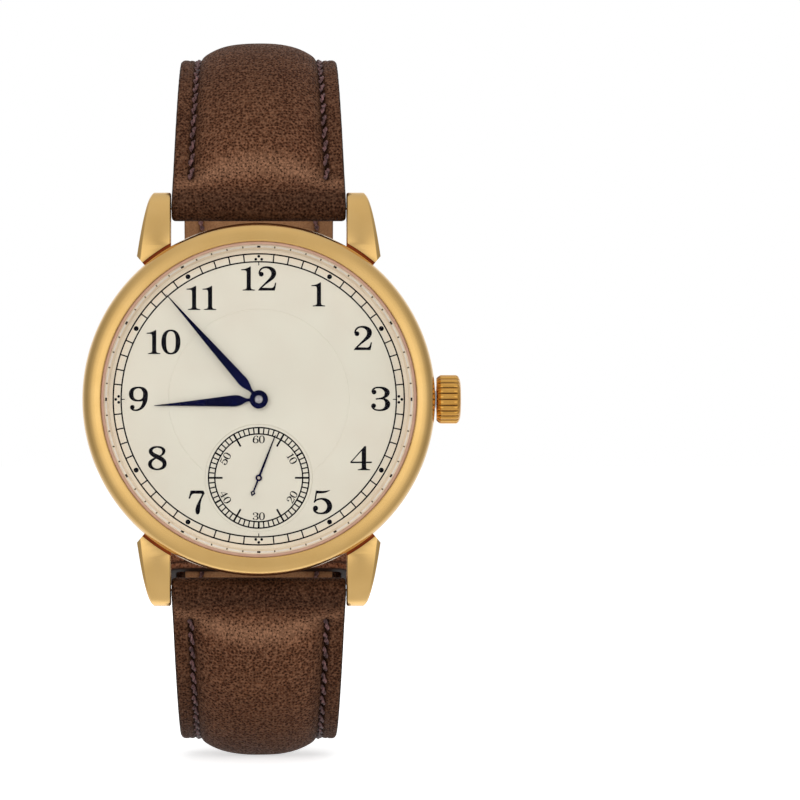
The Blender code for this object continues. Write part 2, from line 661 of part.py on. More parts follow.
def make_lug(sign_x, sign_y):
    """Side outline, drawn as (y, z) clockwise, lofted across x and narrowed towards the tip."""
    tip = LUG_TIP_Y
    root = tip - LUG_LENGTH
    outline = [(root, CASE_TOP - 0.05 * mm), (tip - 6.1 * mm, CASE_TOP - 0.10 * mm),
               (tip - 4.1 * mm, CASE_TOP - 0.43 * mm), (tip - 2.3 * mm, CASE_TOP - 1.13 * mm),
               (tip - 0.9 * mm, CASE_TOP - 2.20 * mm), (tip - 0.12 * mm, CASE_TOP - 3.40 * mm),
               (tip, CASE_TOP - 4.40 * mm), (tip - 0.15 * mm, LUG_TIP_LOW + 0.40 * mm),
               (tip - 0.70 * mm, LUG_TIP_LOW), (tip - 1.5 * mm, LUG_TIP_LOW + 0.02 * mm),
               (tip - 3.1 * mm, LUG_TIP_LOW + 0.50 * mm), (tip - 4.8 * mm, LUG_TIP_LOW + 1.05 * mm),
               (root, CASE_BOTTOM + 0.10 * mm)]

    def width(y):
        share = max((tip - y) / LUG_LENGTH, 0.0)
        return LUG_END_WIDTH + (LUG_ROOT_WIDTH - LUG_END_WIDTH) * share ** 1.15

    outer_bevel = [LUG_BEVEL + LUG_BEVEL_GROWTH * (tip - y) / tip for y, z in outline]
    flat = [0.0] * len(outline)
    inner_bevel = [LUG_INNER_BEVEL] * len(outline)
    rings = []
    for drop, amounts in ((0, inner_bevel), (LUG_INNER_BEVEL, flat), (None, flat), (-1, outer_bevel)):
        ring = []
        for (y, z), (start_y, start_z), bevel in zip(inset(outline, amounts), outline, outer_bevel):
            if drop is None:
                x = width(start_y) - bevel
            elif drop < 0:
                x = width(start_y)
            else:
                x = drop
            x += LUG_GAP / 2
            if start_y == root:
                y = math.sqrt(LUG_ROOT_R ** 2 - x ** 2)
            ring.append((sign_x * x, sign_y * y, z))
        rings.append(ring)
    return loft("lug_%s%s" % ("r" if sign_x > 0 else "l", "t" if sign_y > 0 else "b"), rings)


def make_case_back(head):
    rim = BACK_BORE_R - SEAT_GAP
    back = turned("case_back", [
        (0, BACK_THICKNESS), (rim - BACK_RIM_WALL, BACK_THICKNESS),
        (rim - BACK_RIM_WALL, BACK_THICKNESS + BACK_RIM_HEIGHT), (rim, BACK_THICKNESS + BACK_RIM_HEIGHT),
        (rim, BACK_FLANGE_THICKNESS), (BACK_FLANGE_R, BACK_FLANGE_THICKNESS),
        (BACK_FLANGE_R - 0.20 * mm, 0.22 * mm), (BACK_FLANGE_R - 1.40 * mm, 0), (0, 0)], CASE_STEPS)
    place(back, "gold", head)
    for i in range(BACK_SLOTS):
        slot = box("back_slot_%d" % i, (rim - 1.6 * mm, -BACK_SLOT_WIDTH / 2, -1 * mm),
                   (rim - 0.2 * mm, BACK_SLOT_WIDTH / 2, BACK_SLOT_DEPTH))
        cutter(slot, back, rotation=(0, 0, math.radians(360.0 / BACK_SLOTS * i + 15)))
        boolean(back, slot)
    half = BACK_GASKET_SIZE / 2
    gasket = turned("case_back_gasket", [
        (BACK_GASKET_R + half, CASE_BOTTOM + half + 0.17 * mm), (BACK_GASKET_R + half, CASE_BOTTOM + 0.02 * mm),
        (BACK_GASKET_R - half, CASE_BOTTOM + 0.02 * mm),
        (BACK_GASKET_R - half, CASE_BOTTOM + half + 0.17 * mm)], 48, ring=True)
    place(gasket, "rubber", head)


# ---- crown and winding ----

def make_crown(head):
    on_stem = dict(parent=head, location=(0, 0, STEM_Z), rotation=(0, math.radians(90), 0))
    inner = CASE_R + CROWN_STAND_OFF
    outer = inner + CROWN_LENGTH
    radius = CROWN_DIAMETER / 2
    profile = [(0, outer), (radius - 0.75 * mm, outer - 0.06 * mm), (radius - 0.38 * mm, outer - 0.22 * mm),
               (radius, outer - 0.55 * mm), (radius, inner + 0.45 * mm), (radius - 0.35 * mm, inner),
               (CROWN_RECESS_R, inner), (CROWN_RECESS_R, inner + CROWN_RECESS_DEPTH),
               (0, inner + CROWN_RECESS_DEPTH)]
    crown = turned("crown", profile, 2 * CROWN_FLUTES)
    half_turn = math.pi / CROWN_FLUTES
    for vertex in crown.data.vertices:
        distance = math.hypot(vertex.co.x, vertex.co.y)
        if distance > radius - 0.01 * mm:
            step = round(math.atan2(vertex.co.y, vertex.co.x) / half_turn)
            if step % 2:
                shrink = (distance - CROWN_FLUTE_DEPTH) / distance
                vertex.co.x *= shrink
                vertex.co.y *= shrink
    place(crown, "gold", **on_stem)

    gasket = turned("crown_gasket", [
        (CROWN_RECESS_R - 0.03 * mm, inner + 0.75 * mm), (CROWN_RECESS_R - 0.03 * mm, inner + 0.35 * mm),
        (TUBE_R + 0.03 * mm, inner + 0.35 * mm), (TUBE_R + 0.03 * mm, inner + 0.75 * mm)], 24, ring=True)
    place(gasket, "rubber", **on_stem)

    tube_inner = CASE_BORE_R + 0.20 * mm
    tube_bore = STEM_R + 2 * RUNNING
    tube = turned("crown_tube", [
        (TUBE_R, CASE_R + TUBE_REACH), (TUBE_R, tube_inner), (tube_bore, tube_inner),
        (tube_bore, CASE_R + TUBE_REACH)], 24, ring=True)
    place(tube, "steel", **on_stem)

    stem = round_bar("winding_stem", STEM_R, WINDING_PINION_X - STEM_TAIL, inner + CROWN_RECESS_DEPTH - SEAT_GAP, 16)
    place(stem, "steel", **on_stem)

    leaves = pinion_leaves(14, 2 * WINDING_PINION_R / (14 + 2 * TOOTH_TIP), 0.0)
    bore = circle(STEM_R + 0.03 * mm, 16)
    pinion = plate("winding_pinion", [leaves, bore], WINDING_PINION_X, WINDING_PINION_LENGTH)
    place(pinion, "steel", **on_stem)


def make_winding_wheels(head):
    top = WINDING_Z + WINDING_THICKNESS
    phase = 0.0
    ratchet = plate("ratchet_wheel", [wheel_teeth(RATCHET_TEETH, WINDING_MODULE, phase),
                                      circle(0.62 * mm, 16)], WINDING_Z, WINDING_THICKNESS)
    place(ratchet, "steel", head, (*BARREL, 0))
    arbor = turned("barrel_arbor", [
        (0, PLATE_TOP), (0.40 * mm, PLATE_TOP), (0.40 * mm, PLATE_Z - 0.05 * mm),
        (0.95 * mm, PLATE_Z - 0.10 * mm), (0.95 * mm, BARREL_TOP + 0.22 * mm), (BARREL_ARBOR_R, BARREL_TOP + 0.22 * mm),
        (BARREL_ARBOR_R, WINDING_Z - 0.05 * mm), (0, WINDING_Z - 0.05 * mm)], 16)
    place(arbor, "steel", head, (*BARREL, 0))
    wheel_phase = mesh_phase(direction(BARREL, CROWN_WHEEL), RATCHET_TEETH, phase, CROWN_WHEEL_TEETH)
    wheel = plate("crown_wheel", [wheel_teeth(CROWN_WHEEL_TEETH, WINDING_MODULE, wheel_phase)],
                  WINDING_Z, WINDING_THICKNESS)
    post = cutter(round_bar("crown_wheel_post", 0.45 * mm, top - 0.1 * mm, BRIDGE_TOP - 0.05 * mm, 12), wheel)
    boolean(wheel, post, "UNION")
    place(wheel, "steel", head, (*CROWN_WHEEL, 0))
    tip_r = pitch_r(RATCHET_TEETH, WINDING_MODULE) + TOOTH_TIP * WINDING_MODULE
    click_angle = 160.0
    pivot = toward(BARREL, click_angle, tip_r + 1.15 * mm)
    nose = toward((0, 0), click_angle + 100, 1.6 * mm)
    inward = toward((0, 0), click_angle + 180, 1.0 * mm)
    ahead = toward((0, 0), click_angle - 90, 0.75 * mm)
    outline = arc(0.55 * mm, click_angle - 60, click_angle + 80, 7)
    outline += [nose, (nose[0] * 0.55 + inward[0], nose[1] * 0.55 + inward[1]),
                (-ahead[0] * 0.3 + inward[0] * 0.6, -ahead[1] * 0.3 + inward[1] * 0.6)]
    click = plate("click", [outline], WINDING_Z, WINDING_THICKNESS)
    pin = cutter(round_bar("click_pin", 0.25 * mm, top - 0.1 * mm, BRIDGE_TOP - 0.05 * mm, 12), click)
    boolean(click, pin, "UNION")
    place(click, "steel", head, (*pivot, 0))
    return pivot


# ---- movement plates ----

def pivot_holes(places, radius, bottom, top):
    return [(radius, top - bottom + 2 * mm, upright(x, y, bottom, top)) for x, y in places]


def add_feet(obj, places, bottom):
    for i, (x, y) in enumerate(places):
        foot = round_bar("%s_foot_%d" % (obj.name, i), BRIDGE_FOOT_R, bottom, PLATE_Z - SEAT_GAP, 12)
        cutter(foot, obj, (x, y, 0))
        boolean(obj, foot, "UNION")


def make_plates(head, click_pivot):
    ring = turned("movement_ring", [
        (CASE_BORE_R - SEAT_GAP, CASE_TOP), (CASE_BORE_R - SEAT_GAP, RING_BOTTOM),
        (PLATE_R + SEAT_GAP, RING_BOTTOM), (PLATE_R + SEAT_GAP, CASE_TOP)], 48, ring=True)
    place(ring, "nickel", head)
    boolean(ring, cutter(cylinders("ring_hole", [(STEM_R + 0.2 * mm, CASE_BORE_R - PLATE_R + 2.65 * mm, along_x((PLATE_R + CASE_BORE_R) / 2, 0, STEM_Z))], 16),
                         ring))

    main = round_bar("main_plate", PLATE_R, PLATE_Z, PLATE_TOP, 48)
    place(main, "nickel", head)
    holes = pivot_holes([THIRD, ESCAPE, BALANCE, PALLET, MINUTE_WHEEL], PIVOT_R + RUNNING, PLATE_Z, PLATE_TOP)
    holes += pivot_holes([CENTRE], ARBOR_R + RUNNING, PLATE_Z, PLATE_TOP)
    holes += pivot_holes([FOURTH], FOURTH_ARBOR_R + RUNNING, PLATE_Z, PLATE_TOP)
    holes += pivot_holes([BARREL], 0.40 * mm + RUNNING, PLATE_Z, PLATE_TOP)
    boolean(main, cutter(cylinders("main_plate_holes", holes), main))
    margin = 0.25 * mm
    slot = box("winding_slot", (WINDING_PINION_X - margin, -WINDING_PINION_R - margin, PLATE_Z - 1 * mm),
               (WINDING_PINION_X + WINDING_PINION_LENGTH + CROWN_TRAVEL + margin, WINDING_PINION_R + margin,
                PLATE_TOP + 1 * mm))
    boolean(main, cutter(slot, main))

    split = 0.30 * mm
    ear = 1.35 * mm                 # half width of the barrel bridge's ear under the crown wheel
    ear_left = CROWN_WHEEL[0] - ear
    ear_right = WINDING_PINION_X - 0.45 * mm
    outline = arc(BRIDGE_R, 8, 160, 17) + [
        (-2.6 * mm, 1.9 * mm + split), (ear_left, 1.9 * mm + split), (ear_left, -ear), (ear_right, -ear),
        (ear_right, 1.9 * mm + split)]
    barrel_bridge = plate("barrel_bridge", [outline], BRIDGE_Z, BRIDGE_THICKNESS)
    place(barrel_bridge, "nickel", head)
    holes = pivot_holes([BARREL], BARREL_ARBOR_R + RUNNING, BRIDGE_Z, BRIDGE_TOP)
    holes += pivot_holes([CROWN_WHEEL], 0.45 * mm + RUNNING, BRIDGE_Z, BRIDGE_TOP)
    holes += pivot_holes([click_pivot], 0.25 * mm + RUNNING, BRIDGE_Z, BRIDGE_TOP)
    boolean(barrel_bridge, cutter(cylinders("barrel_bridge_holes", holes), barrel_bridge))
    add_feet(barrel_bridge, [toward(CENTRE, 106, 13.4 * mm), toward(CENTRE, 26, 13.3 * mm)], BRIDGE_Z + 0.1 * mm)

    outline = arc(BRIDGE_R, 186, 350, 19) + [
        (ear_right, -ear - split), (ear_left - split, -ear - split), (ear_left - split, 1.9 * mm),
        (-2.6 * mm, 1.9 * mm)]
    train_bridge = plate("train_bridge", [outline], BRIDGE_Z, BRIDGE_THICKNESS)
    place(train_bridge, "nickel", head)
    opening = round_bar("balance_opening", BALANCE_R + 0.4 * mm, BRIDGE_Z - 1 * mm, BRIDGE_TOP + 1 * mm, 32)
    boolean(train_bridge, cutter(opening, train_bridge, (*BALANCE, 0)))
    notch = box("cock_opening", (-20 * mm, -7.2 * mm, BRIDGE_Z - 1 * mm), (BALANCE[0], 3 * mm, BRIDGE_TOP + 1 * mm))
    boolean(train_bridge, cutter(notch, train_bridge))
    holes = pivot_holes([CENTRE, THIRD, FOURTH, ESCAPE], PIVOT_R + RUNNING, BRIDGE_Z, BRIDGE_TOP)
    boolean(train_bridge, cutter(cylinders("train_bridge_holes", holes), train_bridge))
    add_feet(train_bridge, [toward(CENTRE, 338, 13.5 * mm), toward(CENTRE, 262, 13.65 * mm)], BRIDGE_Z + 0.1 * mm)

    cock_foot = toward(CENTRE, 199, 13.7 * mm)
    cock = plate("balance_cock", [strip_outline(BALANCE, cock_foot, 1.3 * mm)], COCK_Z, COCK_THICKNESS)
    place(cock, "nickel", head)
    hole = pivot_holes([BALANCE], PIVOT_R + RUNNING, COCK_Z, COCK_Z + COCK_THICKNESS)
    boolean(cock, cutter(cylinders("cock_hole", hole), cock))
    add_feet(cock, [cock_foot], COCK_Z + 0.1 * mm)

    pallet_foot = toward(CENTRE, 227, 13.7 * mm)
    pallet_bridge = plate("pallet_bridge", [strip_outline(PALLET, pallet_foot, 0.75 * mm)], PALLET_COCK_Z,
                          PALLET_COCK_THICKNESS)
    place(pallet_bridge, "nickel", head)
    hole = pivot_holes([PALLET], PIVOT_R + RUNNING, PALLET_COCK_Z, PALLET_COCK_Z + PALLET_COCK_THICKNESS)
    boolean(pallet_bridge, cutter(cylinders("pallet_bridge_hole", hole), pallet_bridge))
    foot = cutter(round_bar("pallet_bridge_foot", 0.60 * mm, PALLET_COCK_Z + 0.08 * mm, PLATE_Z - SEAT_GAP, 12),
                  pallet_bridge, (*pallet_foot, 0))
    boolean(pallet_bridge, foot, "UNION")


def strip_outline(first, second, half_width):
    """A bar with round ends about two points."""
    angle = math.degrees(direction(first, second))
    return (arc(half_width, angle + 90, angle + 270, 9, first)
            + arc(half_width, angle - 90, angle + 90, 9, second))


# ---- going train ----

def make_train(head):
    ends = (BRIDGE_Z + 0.20 * mm, PLATE_TOP - 0.20 * mm)
    shoulders = (BRIDGE_TOP + END_SHAKE, PLATE_Z - END_SHAKE)

    phase = 0.0
    barrel_phase = mesh_phase(direction(CENTRE, BARREL), CENTRE_PINION["teeth"], phase, BARREL_WHEEL["teeth"])
    hand_top = MINUTE_HAND["z"] + MINUTE_HAND["thickness"]
    arbor = (ARBOR_R, (ends[0], hand_top + 0.05 * mm), (shoulders[0], hand_top - 0.05 * mm))
    centre = gear("centre_wheel", CENTRE_WHEEL, CENTRE_THIRD_MODULE, phase, CENTRE_PINION, BARREL_MODULE, phase,
                  arbor)
    place(centre, "brass", head)

    pinion_phase = mesh_phase(direction(CENTRE, THIRD), CENTRE_WHEEL["teeth"], phase, THIRD_PINION["teeth"])
    third = gear("third_wheel", THIRD_WHEEL, THIRD_FOURTH_MODULE, 0.0, THIRD_PINION, CENTRE_THIRD_MODULE,
                 pinion_phase, (ARBOR_R, ends, shoulders))
    place(third, "brass", head, (*THIRD, 0))

    pinion_phase = mesh_phase(direction(THIRD, FOURTH), THIRD_WHEEL["teeth"], 0.0, FOURTH_PINION["teeth"])
    hand_z = SECONDS_HAND["z"]
    arbor = (FOURTH_ARBOR_R, (ends[0], hand_z + 0.12 * mm), (shoulders[0], hand_z - 0.02 * mm))
    fourth = gear("fourth_wheel", FOURTH_WHEEL, FOURTH_ESCAPE_MODULE, 0.0, FOURTH_PINION, THIRD_FOURTH_MODULE,
                  pinion_phase, arbor)
    place(fourth, "brass", head, (*FOURTH, 0))

    pinion_phase = mesh_phase(direction(FOURTH, ESCAPE), FOURTH_WHEEL["teeth"], 0.0, ESCAPE_PINION["teeth"])
    make_escape_wheel(head, pinion_phase, ends, shoulders)
    make_barrel(head, barrel_phase)
    make_balance(head, ends[1], shoulders[1])


def make_escape_wheel(head, pinion_phase, ends, shoulders):
    radius = 2.10 * mm
    teeth = ESCAPE_WHEEL["teeth"]
    outline = []
    for i in range(teeth):
        angle = 360.0 / teeth * i
        outline += [toward((0, 0), angle, radius), toward((0, 0), angle + 3, radius),
                    toward((0, 0), angle + 7, radius - 0.55 * mm), toward((0, 0), angle + 19, radius - 0.55 * mm)]
    wheel = plate("escape_wheel", [outline] + crossings(4, 0.50 * mm, 1.20 * mm, 0.30 * mm),
                  ESCAPE_WHEEL["z"], ESCAPE_WHEEL["thickness"])
    add_arbor(wheel, SLIM_ARBOR_R, ends, shoulders)
    leaves = pinion_leaves(ESCAPE_PINION["teeth"], FOURTH_ESCAPE_MODULE, pinion_phase)
    pinion = cutter(plate("escape_pinion", [leaves], ESCAPE_PINION["z"], ESCAPE_PINION["thickness"]), wheel)
    boolean(wheel, pinion, "UNION")
    place(wheel, "steel", head, (*ESCAPE, 0))

    # the fork is drawn with its notch towards +x, then turned to face the balance
    fork_length = BALANCE_DISTANCE - PALLET_DISTANCE - 0.62 * mm
    stone_x = -0.42 * mm
    outline = [(fork_length, 0.42 * mm), (fork_length - 0.45 * mm, 0.40 * mm), (0.5 * mm, 0.16 * mm),
               (0.25 * mm, 0.42 * mm), (-0.15 * mm, 1.35 * mm), (stone_x, 1.45 * mm), (stone_x, 1.20 * mm),
               (-0.22 * mm, 0.35 * mm), (-0.22 * mm, -0.35 * mm), (stone_x, -1.20 * mm), (stone_x, -1.45 * mm),
               (-0.15 * mm, -1.35 * mm), (0.25 * mm, -0.42 * mm), (0.5 * mm, -0.16 * mm),
               (fork_length - 0.45 * mm, -0.40 * mm), (fork_length, -0.42 * mm), (fork_length, -0.15 * mm),
               (fork_length - 0.30 * mm, -0.14 * mm), (fork_length - 0.30 * mm, 0.14 * mm),
               (fork_length, 0.15 * mm)]
    fork = plate("pallet_fork", [outline], ESCAPE_WHEEL["z"], ESCAPE_WHEEL["thickness"])
    cock_top = PALLET_COCK_Z + PALLET_COCK_THICKNESS
    add_arbor(fork, SLIM_ARBOR_R, (PALLET_COCK_Z + 0.02 * mm, ends[1]), (cock_top + END_SHAKE, shoulders[1]))
    place(fork, "steel", head, (*PALLET, 0), (0, 0, math.radians(BALANCE_ANGLE)))


def make_barrel(head, phase):
    drum = plate("barrel_drum", [wheel_teeth(BARREL_WHEEL["teeth"], BARREL_MODULE, phase)],
                 BARREL_WHEEL["z"], BARREL_WHEEL["thickness"])
    wall = turned("drum_wall", [
        (BARREL_DRUM_R, BARREL_TOP), (BARREL_DRUM_R - BARREL_WALL, BARREL_TOP),
        (BARREL_DRUM_R - BARREL_WALL, BARREL_WHEEL["z"] + 0.10 * mm),
        (BARREL_DRUM_R, BARREL_WHEEL["z"] + 0.10 * mm)][::-1], 32, ring=True)
    boolean(drum, cutter(wall, drum), "UNION")
    bore = round_bar("drum_bore", 0.95 * mm + RUNNING, BARREL_TOP, PLATE_Z + 1 * mm, 16)
    boolean(drum, cutter(bore, drum))
    place(drum, "brass", head, (*BARREL, 0))

    cover_bottom = BARREL_TOP + 0.02 * mm
    cover = plate("barrel_cover", [circle(BARREL_DRUM_R - BARREL_WALL - SEAT_GAP, 32),
                                   circle(BARREL_ARBOR_R + RUNNING, 16)], cover_bottom, 0.14 * mm)
    place(cover, "brass", head, (*BARREL, 0))

    turns = 5
    steps = 10
    first = 1.25 * mm
    last = BARREL_DRUM_R - BARREL_WALL - 0.25 * mm
    points = []
    for i in range(turns * steps + 1):
        share = i / (turns * steps)
        points += circle(first + (last - first) * share, 1, start=2 * math.pi * i / steps)
    spring = ribbon("mainspring", points, 0.48 * mm, BARREL_TOP + 0.25 * mm, 0.12 * mm)
    place(spring, "blued_steel", head, (*BARREL, 0))


def make_balance(head, top, shoulder):
    inner = BALANCE_R - BALANCE_RIM
    wheel = plate("balance_wheel", [circle(BALANCE_R, 32)] + crossings(3, 0.9 * mm, inner, 0.6 * mm),
                  BALANCE_Z, BALANCE_THICKNESS)
    cock_top = COCK_Z + COCK_THICKNESS
    add_arbor(wheel, 0.22 * mm, (COCK_Z + 0.12 * mm, top), (cock_top + END_SHAKE, shoulder))
    roller = cutter(round_bar("roller", 0.48 * mm, ESCAPE_WHEEL["z"] - 0.02 * mm, ESCAPE_WHEEL["z"] + 0.18 * mm, 16),
                    wheel)
    boolean(wheel, roller, "UNION")
    place(wheel, "brass", head, (*BALANCE, 0))

    steps = 10
    first = 0.45 * mm
    points = []
    for i in range(HAIRSPRING_TURNS * steps + 1):
        share = i / (HAIRSPRING_TURNS * steps)
        points += circle(first + (HAIRSPRING_R - first) * share, 1, start=2 * math.pi * i / steps)
    spring = ribbon("hairspring", points, 0.16 * mm, 1.95 * mm, 0.03 * mm)
    place(spring, "blued_steel", head, (*BALANCE, 0))


# ---- motion works, dial, hands ----

def make_motion_works(head):
    phase = 0.0
    pipe_top = MINUTE_HAND["z"] + MINUTE_HAND["thickness"] + 0.12 * mm
    cannon = plate("cannon_pinion", [pinion_leaves(CANNON_TEETH, WORKS_MODULE, phase)], WORKS_Z, WORKS_THICKNESS)
    pipe = turned("cannon_pipe", [
        (0, pipe_top), (0.43 * mm, pipe_top), (0.43 * mm, 6.30 * mm), (0.52 * mm, 6.30 * mm),
        (0.52 * mm, WORKS_Z + 0.05 * mm), (0, WORKS_Z + 0.05 * mm)], 16)
    boolean(cannon, cutter(pipe, cannon), "UNION")
    bore = round_bar("cannon_bore", ARBOR_R + RUNNING, WORKS_Z - 1 * mm, pipe_top + 1 * mm, 16)
    boolean(cannon, cutter(bore, cannon))
    place(cannon, "steel", head)

    minute_phase = mesh_phase(direction(CENTRE, MINUTE_WHEEL), CANNON_TEETH, phase, MINUTE_WHEEL_TEETH)
    minute = plate("minute_wheel", [wheel_teeth(MINUTE_WHEEL_TEETH, WORKS_MODULE, minute_phase)],
                   WORKS_Z, WORKS_THICKNESS)
    post = cutter(round_bar("minute_wheel_post", PIVOT_R, PLATE_Z + 0.2 * mm, WORKS_Z + 0.05 * mm, 12), minute)
    boolean(minute, post, "UNION")
    leaves = pinion_leaves(MINUTE_PINION_TEETH, HOUR_MODULE, 0.0)
    pinion = cutter(plate("minute_pinion", [leaves], WORKS_Z + 0.1 * mm, 0.33 * mm), minute)
    boolean(minute, pinion, "UNION")
    place(minute, "brass", head, (*MINUTE_WHEEL, 0))

    hour_phase = mesh_phase(direction(MINUTE_WHEEL, CENTRE), MINUTE_PINION_TEETH, 0.0, HOUR_WHEEL_TEETH)
    hour = plate("hour_wheel", [wheel_teeth(HOUR_WHEEL_TEETH, HOUR_MODULE, hour_phase)], WORKS_Z + 0.23 * mm,
                 0.15 * mm)
    hour_top = HOUR_HAND["z"] + HOUR_HAND["thickness"] + 0.03 * mm
    pipe = round_bar("hour_pipe", 0.82 * mm, WORKS_Z + 0.26 * mm, hour_top, 16)
    boolean(hour, cutter(pipe, hour), "UNION")
    bore = round_bar("hour_bore", 0.52 * mm + RUNNING, WORKS_Z, hour_top + 1 * mm, 16)
    boolean(hour, cutter(bore, hour))
    place(hour, "brass", head)


def make_dial(head):
    dial = round_bar("dial", DIAL_R, DIAL_Z, DIAL_TOP, CASE_STEPS)
    place(dial, "dial", head)
    recess = round_bar("subdial", SUBDIAL_R, DIAL_TOP - SUBDIAL_DEPTH, DIAL_TOP + 1 * mm, 48)
    boolean(dial, cutter(recess, dial, (0, SECONDS_Y, 0)))
    holes = pivot_holes([CENTRE], DIAL_CENTRE_HOLE_R, DIAL_Z, DIAL_TOP)
    holes += pivot_holes([FOURTH], DIAL_SECONDS_HOLE_R, DIAL_Z, DIAL_TOP)
    boolean(dial, cutter(cylinders("dial_holes", holes, 20), dial))


def hand_outline(shape):
    """A leaf hand pointing to +y: half the blade, mirrored, and the hub's circle round the back."""
    body = shape["length"]
    half = [(shape["neck"] / 2, shape["hub_r"] + 0.28 * mm), (shape["widest"] / 2, shape["widest_at"]),
            (shape["widest"] * 0.36, body * 0.45), (shape["tip"] / 2, body - 0.1 * mm), (0, body)]
    left = [(-x, y) for x, y in reversed(half[:-1])]
    opening = math.degrees(math.asin(shape["neck"] / 2 / shape["hub_r"]))
    hub = arc(shape["hub_r"], 90 + opening, 450 - opening, 22)
    return half + left + hub


def make_hands(head):
    for name, shape, angle, bore in (("hour_hand", HOUR_HAND, HOUR_ANGLE, 0.82 * mm + 0.02 * mm),
                                     ("minute_hand", MINUTE_HAND, MINUTE_ANGLE, 0.43 * mm + 0.02 * mm)):
        hand = plate(name, [hand_outline(shape), circle(bore, 20)], shape["z"], shape["thickness"])
        place(hand, "blued_steel", head, rotation=(0, 0, math.radians(-angle)))
    shape = SECONDS_HAND
    half = shape["width"] / 2
    opening = math.degrees(math.asin(half / shape["hub_r"]))
    outline = [(half * 0.6, shape["length"]), (-half * 0.6, shape["length"])]
    outline += arc(shape["hub_r"], 90 + opening, 270 - opening, 7)
    outline += [(-half, -shape["tail"] + 0.7 * mm), (-0.24 * mm, -shape["tail"] + 0.35 * mm),
                (0, -shape["tail"]), (0.24 * mm, -shape["tail"] + 0.35 * mm), (half, -shape["tail"] + 0.7 * mm)]
    outline += arc(shape["hub_r"], 270 + opening, 450 - opening, 7)
    hand = plate("seconds_hand", [outline, circle(PIVOT_R + 0.02 * mm, 10)], shape["z"], shape["thickness"])
    place(hand, "blued_steel", head, (*FOURTH, 0), (0, 0, math.radians(-SECONDS_ANGLE)))


# ---- spring bars ----

def make_spring_bars(head):
    half = BAR_TUBE_LENGTH / 2
    for label, sign in (("top", 1), ("bottom", -1)):
        on_bar = dict(parent=head, location=(0, sign * BAR_Y, BAR_Z))
        tube = turned("spring_bar_" + label, [
            (BAR_TUBE_R, half), (BAR_TUBE_R, -half), (BAR_TUBE_BORE_R, -half), (BAR_TUBE_BORE_R, half)],
            16, ring=True)
        place(tube, "steel", rotation=(0, math.radians(90), 0), **on_bar)
        for side, turn in (("right", 90), ("left", -90)):
            pin_end = LUG_GAP / 2 + BAR_PIN_REACH
            shoulder = LUG_GAP / 2 - 0.08 * mm
            stem_r = BAR_TUBE_BORE_R - RUNNING
            profile = [(0, pin_end), (BAR_PIN_R, pin_end), (BAR_PIN_R, shoulder), (stem_r, shoulder),
                       (stem_r, half - BAR_STEM_LENGTH), (0, half - BAR_STEM_LENGTH)]
            tip = turned("spring_bar_tip_%s_%s" % (label, side), profile, 12)
            place(tip, "steel", rotation=(0, math.radians(turn), 0), **on_bar)


# ---- strap: the loop seen from the side, as (y, z) ----

def loop_shape():
    """The ellipse through the spring bars whose back lies at LOOP_BACK_Y: its centre y and half depth."""
    reach = math.sqrt(1 - (BAR_Y / LOOP_HALF_HEIGHT) ** 2)
    depth = (LOOP_BACK_Y + BAR_Z) / (1 + reach)
    return LOOP_BACK_Y - depth, depth


LOOP_CENTRE_Y, LOOP_DEPTH = loop_shape()
BUCKLE_BAR_Y = LOOP_CENTRE_Y + LOOP_DEPTH * math.sqrt(1 - (BUCKLE_BAR_Z / LOOP_HALF_HEIGHT) ** 2)


def smooth(share):
    share = min(max(share, 0.0), 1.0)
    return share * share * (3 - 2 * share)


def long_lift(z, behind):
    """How far the long piece stands outside the loop: it climbs over the bar and the short piece."""
    if not behind:
        return 0.0
    climb = LONG_OVER_BAR * smooth((LIFT_START_Z - z) / (LIFT_START_Z - LIFT_END_Z))
    settle = (LONG_OVER_BAR - LONG_OVER_SHORT) * smooth((LIFT_END_Z - 1 * mm - z) / (8 * mm))
    return climb - settle


class StrapPath:
    """The line between outer leather and lining, from the spring bar, measured along its length."""

    def __init__(self, side, last_z):
        self.side = side
        first = math.asin(BAR_Y / LOOP_HALF_HEIGHT)
        last = math.pi - math.asin(side * last_z / LOOP_HALF_HEIGHT)
        self.points = []
        count = 900
        for i in range(count + 1):
            angle = first + (last - first) * i / count
            y = LOOP_CENTRE_Y - LOOP_DEPTH * math.cos(angle)
            z = LOOP_HALF_HEIGHT * math.sin(angle)
            normal = Vector((-math.cos(angle) / LOOP_DEPTH, math.sin(angle) / LOOP_HALF_HEIGHT)).normalized()
            lift = long_lift(z, angle > math.pi / 2) if side > 0 else 0.0
            self.points.append(Vector((y + normal.x * lift, side * (z + normal.y * lift))))
        self.lengths = [0.0]
        for first_point, second_point in zip(self.points, self.points[1:]):
            self.lengths.append(self.lengths[-1] + (second_point - first_point).length)
        self.length = self.lengths[-1]

    def at(self, distance):
        """Point, direction and outward normal at a distance from the spring bar."""
        index = 1
        while index < len(self.lengths) - 1 and self.lengths[index] < distance:
            index += 1
        low, high = self.points[index - 1], self.points[index]
        step = self.lengths[index] - self.lengths[index - 1]
        along = (high - low) / step
        point = low + along * (distance - self.lengths[index - 1])
        normal = Vector((-along.y, along.x)) if self.side > 0 else Vector((along.y, -along.x))
        return point, along, normal

    def distance_at(self, z):
        """Distance along the back of the loop at which the path is at height z."""
        best = min(range(len(self.points) // 3, len(self.points)), key=lambda i: abs(self.points[i].y - z))
        return self.lengths[best]


DOME = ((0.0, 1.0), (0.62, 0.74), (1.0, 0.0))


def dome(share):
    share = abs(share)
    for (first, high), (second, low) in zip(DOME, DOME[1:]):
        if share <= second:
            return high + (low - high) * (share - first) / (second - first)
    return 0.0


